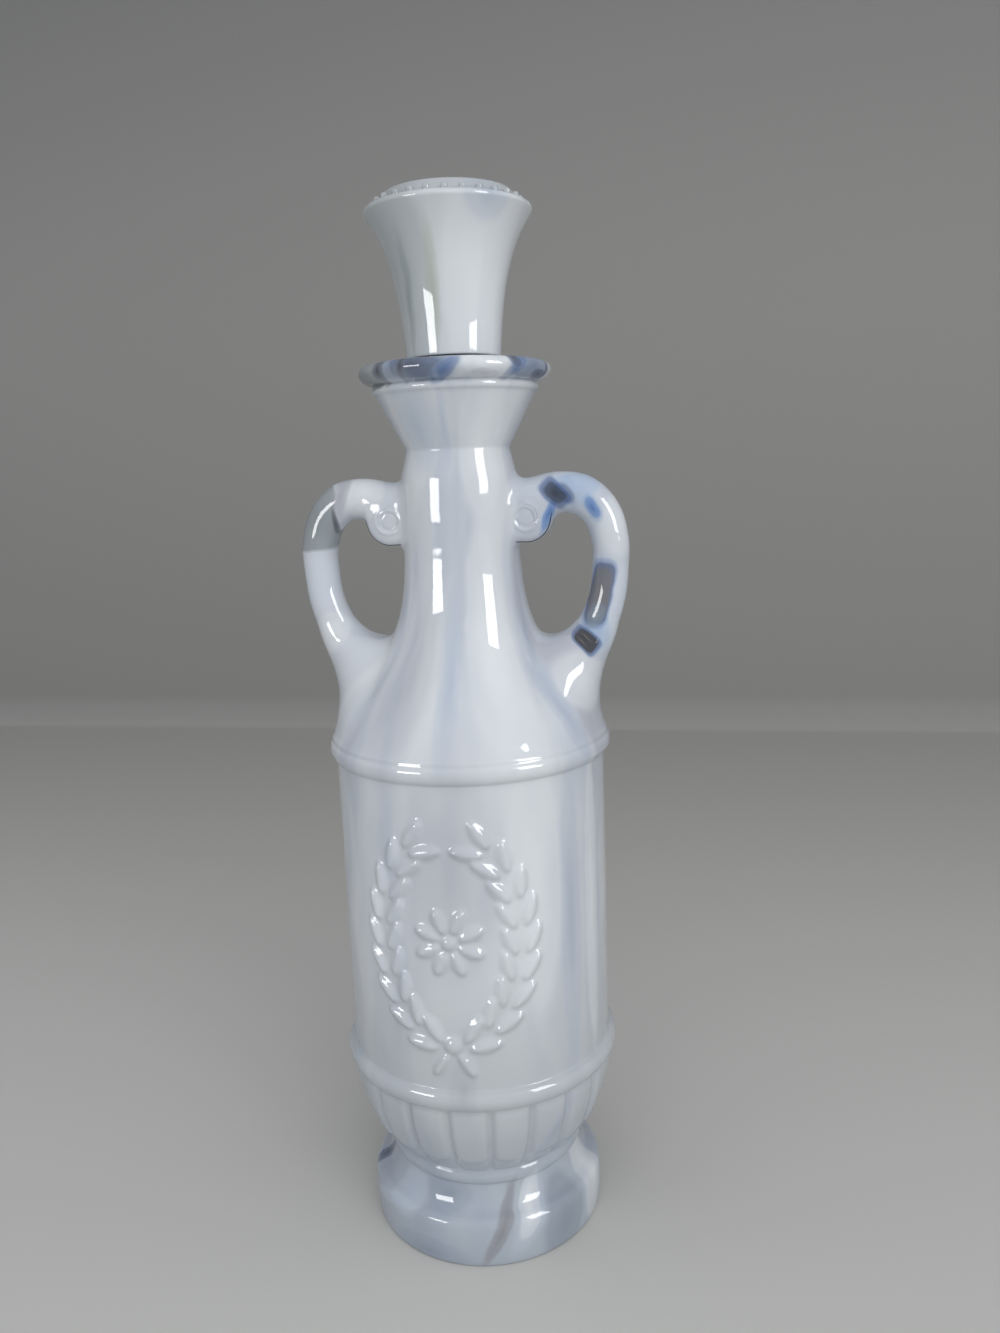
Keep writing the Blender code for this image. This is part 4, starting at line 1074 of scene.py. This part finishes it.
    def scroll_rings(self, side):
        """Rings of a scroll, across its near face, over its side and across its far face."""
        handle = self.handle
        ease = handle.scroll_edge
        face_rings, corner_rings, side_rings = 22, 5, 13
        side_share = 0.84
        flat = np.linspace(0.5 * MM, handle.scroll_radius - ease, face_rings)
        corner = np.linspace(0, tau / 4, corner_rings)[1:-1]
        half = [(r, -1.0, 0.0) for r in flat]
        half += [(handle.scroll_radius - ease + ease * sin(c), -1.0, ease * (1 - cos(c))) for c in corner]
        across = np.linspace(-side_share, side_share, side_rings)
        side_rows = [(handle.scroll_radius, y, 0.0) for y in across]
        rows = half + side_rows + [(r, -y, drop) for r, y, drop in half[::-1]]
        angle = tau * np.arange(SCROLL_SIDES) / SCROLL_SIDES
        rings = np.empty((len(rows), len(angle), 3))
        for i, (radius, share, drop) in enumerate(rows):
            face = self.scroll_face(np.full(len(angle), radius), angle)
            rings[i, :, 0] = side * (handle.scroll_place + radius * np.cos(angle))
            rings[i, :, 1] = share * (handle.scroll_half_depth + (face - drop if abs(share) == 1.0 else 0.0))
            rings[i, :, 2] = self.scroll_height + radius * np.sin(angle)
        return rings


def core_object(body, at, fine):
    """A rough solid inside the wall, which trims what the handles would leave in the hollow."""
    below_shoulder = 6 * MM
    inset_share = 0.55
    every = 40
    rows = fine[(fine[:, 1] > at.body - below_shoulder) & (fine[:, 1] < at.cup)][::every]
    rows = np.column_stack([rows[:, 0] - body.wall * inset_share, rows[:, 1]])
    return turned("core", rows, CORE_SIDES)


def finished(made, material):
    """Gives a piece its material and smooth faces."""
    made.data.materials.clear()
    made.data.materials.append(material)
    made.data.shade_smooth()


class DECANTER_OT_bottle(bpy.types.Operator):
    """Builds the bottle: one piece of moulded glass with its handles, lobes and relief"""
    bl_idname = "decanter.bottle"
    bl_label = "Bottle"

    def execute(self, context):
        scene = context.scene
        foot, body, handle = scene.decanter_foot, scene.decanter_body, scene.decanter_handle
        at = levels(foot, body)
        outer = fine_outline(outer_outline(foot, body, at), MOULD_EASE)
        in_relief = (outer[:, 1] > at.ring + RELIEF_MARGINS[0]) & (outer[:, 1] < at.body - RELIEF_MARGINS[1])
        outer_rows = stepped(outer, np.where(in_relief, RELIEF_STEP, LONG_STEP))
        inner = fine_outline(inner_outline(foot, body, at), MOULD_EASE)
        inner_rows = stepped(inner, np.full(len(inner), INNER_STEP))
        outline = np.vstack([outer_rows[1:], inner_rows[:-1]])
        angles = column_angles(foot)
        rings = turned_rings(outline, angles)
        change = np.zeros(rings.shape[:2])
        outside = np.arange(len(outline)) < len(outer_rows) - 1
        lobed = outside & (outline[:, 1] > at.collar) & (outline[:, 1] < at.bowl)
        change[lobed] = lobe_change(angles, outline[lobed, 1], outline[lobed, 0], foot, at)
        cut = outside & (outline[:, 1] > at.ring + WALL_MARGIN) & (outline[:, 1] < at.body - WALL_MARGIN)
        change[cut] = relief_change(angles, outline[cut, 1], scene.decanter_relief, body, at,
                                    scene.decanter_stopper.seat_gap)
        rings[:, :, :2] *= (1 + change / np.maximum(outline[:, :1], 1e-6))[:, :, None]
        bottle = skinned("decanter_bottle", rings)
        form = HandleForm(body, handle, at, outer)
        for side in (-1, 1):
            added = skinned("web", form.web_rings(side))
            joined(added, skinned("arm", form.arm_rings(side)))
            joined(added, skinned("scroll", form.scroll_rings(side)))
            joined(added, core_object(body, at, outer), "DIFFERENCE")
            joined(bottle, added)
        self.fillet(bottle, form, at)
        finished(bottle, marbled_glass(
            "marbled_milk_glass", scene.decanter_glass, BOTTLE_CORE, HANDLE_SWIRLS, WALL_SWIRLS,
            (at.lip / MM, body.land_radius / MM),
        ))
        self.set_normals(bottle, form)
        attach(bottle, "root")
        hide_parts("bottle")
        return {"FINISHED"}

    def fillet(self, bottle, form, at):
        """Moves the skin near the handles onto the blended form."""
        mesh = bottle.data
        points = np.empty(len(mesh.vertices) * 3)
        mesh.vertices.foreach_get("co", points)
        points = points.reshape(-1, 3)
        # Only the outer skin by a handle: over the shoulder, off the middle and near the wall's face
        margin = 2 * MM
        inner_share, depth_share, least_rate = 0.22, 0.4, 0.2
        zone = (points[:, 2] > at.body + margin) & (points[:, 2] < at.waist + margin)
        zone &= np.abs(points[:, 0]) > form.handle.web_reach * inner_share
        zone &= form.body_distance(points) > -form.body.wall * depth_share
        zone = np.flatnonzero(zone)
        zone = zone[form.handle_distance(points[zone]) < FILLET_REACH]
        p = points[zone]
        for _ in range(FILLET_ROUNDS):
            here, grown = form.normal(p)
            rate = np.maximum((grown ** 2).sum(axis=1), least_rate)
            move = -(here / rate)[:, None] * grown
            size = np.maximum(np.hypot(np.hypot(move[:, 0], move[:, 1]), move[:, 2]), 1e-12)
            p = p + move * np.minimum(1, FILLET_MOVE / size)[:, None]
        points[zone] = p
        mesh.vertices.foreach_set("co", points.ravel())
        mesh.update()
        self.zone = zone
        self.zone_points = p

    def set_normals(self, bottle, form):
        """Gives the skin near the handles the normals of the blended form."""
        mesh = bottle.data
        normals = np.zeros((len(mesh.vertices), 3))
        _, grown = form.normal(self.zone_points)
        grown /= np.maximum(np.linalg.norm(grown, axis=1), 1e-9)[:, None]
        normals[self.zone] = grown
        mesh.normals_split_custom_set_from_vertices(normals.tolist())


class DECANTER_OT_stopper(bpy.types.Operator):
    """Builds the glass stopper head with its beads, and the plug on its peg"""
    bl_idname = "decanter.stopper"
    bl_label = "Stopper"

    def execute(self, context):
        scene = context.scene
        stopper, body = scene.decanter_stopper, scene.decanter_body
        lip = levels(scene.decanter_foot, body).lip
        self.make_head(stopper, lip, scene.decanter_glass)
        self.make_plug(stopper, body, lip, scene.decanter_glass)
        return {"FINISHED"}

    def make_head(self, stopper, lip, colours):
        """Peg, waisted flare, rounded rim, bead channel and flat top."""
        foot = lip + stopper.seat_gap * 2 + stopper.flange_thickness
        top = foot + stopper.height
        peg_end = lip - stopper.plug_length + stopper.plug_floor + stopper.seat_gap
        rim, channel = top - stopper.rim_drop, top - stopper.channel_drop
        outline = [(0.0, peg_end), (stopper.peg_radius - stopper.end_taper, peg_end)]
        outline += [(stopper.peg_radius, peg_end + stopper.end_taper), (stopper.peg_radius, foot)]
        outline.append((stopper.foot_radius, foot))
        grown = stopper.rim_radius - stopper.foot_radius
        low, high = ((stopper.foot_radius + grown * out, foot + (rim - foot) * up)
                     for out, up in FLARE_SHARES)
        outline += bezier(outline[-1], low, high, (stopper.rim_radius, rim), LONG_SLOPE)
        outline.append((stopper.rim_radius - stopper.rim_ease / 4, rim + stopper.rim_ease))
        outline.append((stopper.channel_radius, channel))
        outline.append((stopper.top_radius + stopper.top_edge, channel + stopper.top_edge))
        outline.append((stopper.top_radius, top - stopper.top_edge))
        outline.append((stopper.top_radius - stopper.top_edge, top))
        outline.append((0.0, top))
        fine = fine_outline(outline, HEAD_EASE)
        rows = stepped(fine, np.full(len(fine), LONG_STEP))[1:-1]
        head = turned("decanter_stopper_head", rows, HEAD_SIDES)
        ring = (stopper.channel_radius + stopper.top_radius + stopper.top_edge) / 2
        height = channel + stopper.bead_radius / 2
        work = bmesh.new()
        for i in range(stopper.bead_count):
            angle = tau * i / stopper.bead_count
            place = Matrix.Translation((ring * cos(angle), ring * sin(angle), height))
            bmesh.ops.create_uvsphere(work, u_segments=BEAD_SIDES, v_segments=BEAD_ROWS,
                                      radius=stopper.bead_radius, matrix=place)
        mesh = bpy.data.meshes.new("beads")
        work.to_mesh(mesh)
        work.free()
        joined(head, placed("beads", mesh))
        finished(head, marbled_glass("pressed_milk_glass", colours, STOPPER_CORE, (), STOPPER_SWIRLS))
        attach(head, "stopper")
        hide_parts("stopper_head")

    def make_plug(self, stopper, body, lip, colours):
        """A ribbed sleeve with a closed end, a flange and a socket for the peg."""
        gap = stopper.seat_gap
        end = lip + gap - stopper.plug_length
        rib = body.bore_radius - gap
        core = rib - stopper.rib_height
        pitch = (stopper.plug_length - stopper.end_taper * 2) / (stopper.rib_count + 1)
        outline = [(0.0, end), (core - stopper.end_taper, end), (core, end + stopper.end_taper)]
        for i in range(stopper.rib_count):
            middle = end + stopper.end_taper + pitch * (i + 1)
            outline.append((core, middle - stopper.rib_height))
            outline.append((rib, middle + stopper.rib_height / 4))
            outline.append((core, middle + stopper.rib_height))
        seat = lip + gap
        top = seat + stopper.flange_thickness
        floor = lip - stopper.plug_length + stopper.plug_floor
        outline += [(core, seat), (stopper.flange_radius, seat), (stopper.flange_radius, top)]
        outline += [(stopper.peg_radius + gap, top), (stopper.peg_radius + gap, floor), (0.0, floor)]
        fine = fine_outline(outline, PLUG_EASE)
        rows = stepped(fine, np.full(len(fine), LONG_STEP))[1:-1]
        plug = turned("decanter_stopper_plug", rows, PLUG_SIDES)
        finished(plug, plug_plastic("natural_polyethylene", colours))
        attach(plug, "stopper")
        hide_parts("stopper_plug")


# The camera of the photograph: its place in metres, its axes and its focal length for a 36 mm sensor
CAMERA_PLACE = (0.0711, -0.3344, 0.2568)
CAMERA_RIGHT = (0.98475, 0.17006, -0.03675)
CAMERA_UP = (0.00423, 0.18782, 0.98219)
CAMERA_BACK = (0.1739, -0.9674, 0.1842)
CAMERA_LENS = 28.33

# Lamps: name, place in metres, width, height, power in watts. The panels stand for the room's
# windows, are turned to the axis without a tilt and only show as reflections. The soft lamps give
# the light, are turned to LAMP_AIM and aren't mirrored in the glass.
LAMP_AIM = (0.0, 0.0, 0.2)
LAMPS = (
    ("left_panel", (-0.50, -0.64, 0.325), 0.27, 0.25, 2.8),
    ("right_panel", (0.70, -0.42, 0.555), 0.27, 0.59, 5.4),
    ("key_soft", (0.58, -1.00, 0.55), 1.0, 1.0, 4.4),
    ("overhead_soft", (0.20, -0.60, 1.10), 0.9, 0.9, 2.6),
)

# Light of the sky all round, a little blue
SKY_COLOUR = "#f2f4f8"
SKY_STRENGTH = 0.72

# The sheet that is floor and backdrop, in metres: its front and back edge, half its width, its
# height, the radius of its bend and the steps round it
SHEET_FRONT, SHEET_BACK = -1.6, 0.70
SHEET_HALF_WIDTH = 1.6
SHEET_HEIGHT = 1.8
SHEET_BEND = 0.03
SHEET_BEND_STEPS = 12

# Where the sheet's painted shading starts and ends, in metres along it from below the bottle
SHADE_START, SHADE_END = -0.3, 1.7


class DECANTER_OT_stage(bpy.types.Operator):
    """Sets up the camera, the floor, the backdrop and the lamps"""
    bl_idname = "decanter.stage"
    bl_label = "Stage"

    def execute(self, context):
        scene = context.scene
        scene.view_settings.view_transform = "Standard"
        colours = scene.decanter_stage
        self.make_camera(scene)
        self.make_cove(colours)
        for name, place, width, height, power in LAMPS:
            lamp = bpy.data.lights.new(name, "AREA")
            lamp.shape = "RECTANGLE"
            lamp.size, lamp.size_y, lamp.energy = width, height, power
            made = bpy.data.objects.new(name, lamp)
            made.location = place
            aim = Vector(LAMP_AIM) - Vector(place)
            if "panel" in name:
                aim.z = 0.0
                made.visible_diffuse = False
            else:
                made.visible_glossy = False
            made.rotation_euler = aim.to_track_quat("-Z", "Y").to_euler()
            scene.collection.objects.link(made)
        self.make_world(scene, colours)
        return {"FINISHED"}

    def make_camera(self, scene):
        """The camera at the photograph's place, angle and focal length."""
        data = bpy.data.cameras.new("photo_camera")
        data.lens = CAMERA_LENS
        data.clip_start = 0.01
        camera = bpy.data.objects.new("photo_camera", data)
        axes = Matrix((CAMERA_RIGHT, CAMERA_UP, CAMERA_BACK)).transposed().to_4x4()
        camera.matrix_world = Matrix.Translation(CAMERA_PLACE) @ axes
        scene.collection.objects.link(camera)
        scene.camera = camera

    def make_cove(self, colours):
        """A pale sheet that lies flat under the bottle and curves up behind it."""
        flat_end = SHEET_BACK - SHEET_BEND
        rows = [(SHEET_FRONT, 0.0), (flat_end, 0.0)]
        for i in range(1, SHEET_BEND_STEPS + 1):
            angle = tau / 4 * i / SHEET_BEND_STEPS
            rows.append((flat_end + SHEET_BEND * sin(angle), SHEET_BEND * (1 - cos(angle))))
        rows.append((SHEET_BACK, SHEET_HEIGHT))
        points = [(x, y, z) for y, z in rows for x in (-SHEET_HALF_WIDTH, SHEET_HALF_WIDTH)]
        faces = [(2 * i, 2 * i + 1, 2 * i + 3, 2 * i + 2) for i in range(len(rows) - 1)]
        mesh = bpy.data.meshes.new("backdrop_sheet")
        mesh.from_pydata(points, [], faces)
        mesh.shade_smooth()
        sheet = placed("backdrop_sheet", mesh)
        material, tree = blank_material("matt_backdrop_paper")
        place = node(tree, "TexCoord").outputs["Object"]
        parts = node(tree, "SeparateXYZ", {0: place}).outputs
        # How far back along the floor and then up the backdrop
        far = node(tree, "Math", {0: parts["Y"], 1: parts["Z"]}, operation="ADD").outputs[0]
        share = node(tree, "MapRange", {
            "Value": far, "From Min": SHADE_START, "From Max": SHADE_END,
        }).outputs[0]
        # Paler at the front, darker towards the back and up the backdrop: painted shade of the light's
        # fall-off over one sheet
        tint = node(tree, "ValToRGB", {0: share}, (
            (0.0, colours.floor, 1), (0.485, colours.floor_back, 1), (0.503, colours.backdrop, 1),
            (0.68, colours.backdrop, 1), (0.95, colours.backdrop_top, 1),
        ))
        shader = node(tree, "BsdfPrincipled", {
            "Base Color": tint.outputs["Color"], "Roughness": 0.9, "Specular IOR Level": 0.1,
        })
        node(tree, "OutputMaterial", {"Surface": shader.outputs[0]})
        mesh.materials.append(material)

    def make_world(self, scene, colours):
        """Soft light all round, with the backdrop's colour wherever the world is seen."""
        world = bpy.data.worlds.new("studio")
        world.use_nodes = True
        tree = world.node_tree
        tree.nodes.clear()
        path = node(tree, "LightPath").outputs
        seen = node(tree, "Math", {0: path["Is Camera Ray"], 1: path["Is Glossy Ray"]},
                    operation="MAXIMUM").outputs[0]
        seen = node(tree, "Math", {0: seen, 1: path["Is Transmission Ray"]},
                    operation="MAXIMUM").outputs[0]
        shown = node(tree, "Background", {"Color": linear(colours.backdrop), "Strength": 1.0})
        light = node(tree, "Background", {"Color": linear(SKY_COLOUR), "Strength": SKY_STRENGTH})
        mixed = node(tree, "MixShader", {0: seen, 1: light.outputs[0], 2: shown.outputs[0]})
        node(tree, "OutputWorld", {"Surface": mixed.outputs[0]})
        scene.world = world


class DECANTER_PT_panel(bpy.types.Panel):
    """Lists the operators that build the decanter"""
    bl_idname = "DECANTER_PT_panel"
    bl_label = "Amphora Decanter"
    bl_space_type = "VIEW_3D"
    bl_region_type = "UI"
    bl_category = "Decanter"

    def draw(self, context):
        for name in ("decanter.bottle", "decanter.stopper", "decanter.stage"):
            self.layout.operator(name)


GROUPS = (
    ("decanter_foot", FootSizes),
    ("decanter_body", BodySizes),
    ("decanter_handle", HandleSizes),
    ("decanter_relief", ReliefSizes),
    ("decanter_stopper", StopperSizes),
    ("decanter_glass", GlassColours),
    ("decanter_stage", StageColours),
)
CLASSES = (DECANTER_OT_bottle, DECANTER_OT_stopper, DECANTER_OT_stage, DECANTER_PT_panel)


def register():
    """Registers the property groups, the operators and the panel."""
    for name, group in GROUPS:
        bpy.utils.register_class(group)
        setattr(bpy.types.Scene, name, bpy.props.PointerProperty(type=group))
    for item in CLASSES:
        bpy.utils.register_class(item)


def unregister():
    """Takes back what register has done."""
    for item in reversed(CLASSES):
        bpy.utils.unregister_class(item)
    for name, group in reversed(GROUPS):
        delattr(bpy.types.Scene, name)
        bpy.utils.unregister_class(group)


def main():
    """Builds the stage, the bottle and the stopper."""
    register()
    bpy.ops.decanter.stage()
    bpy.ops.decanter.bottle()
    bpy.ops.decanter.stopper()


if __name__ == "__main__":
    main()
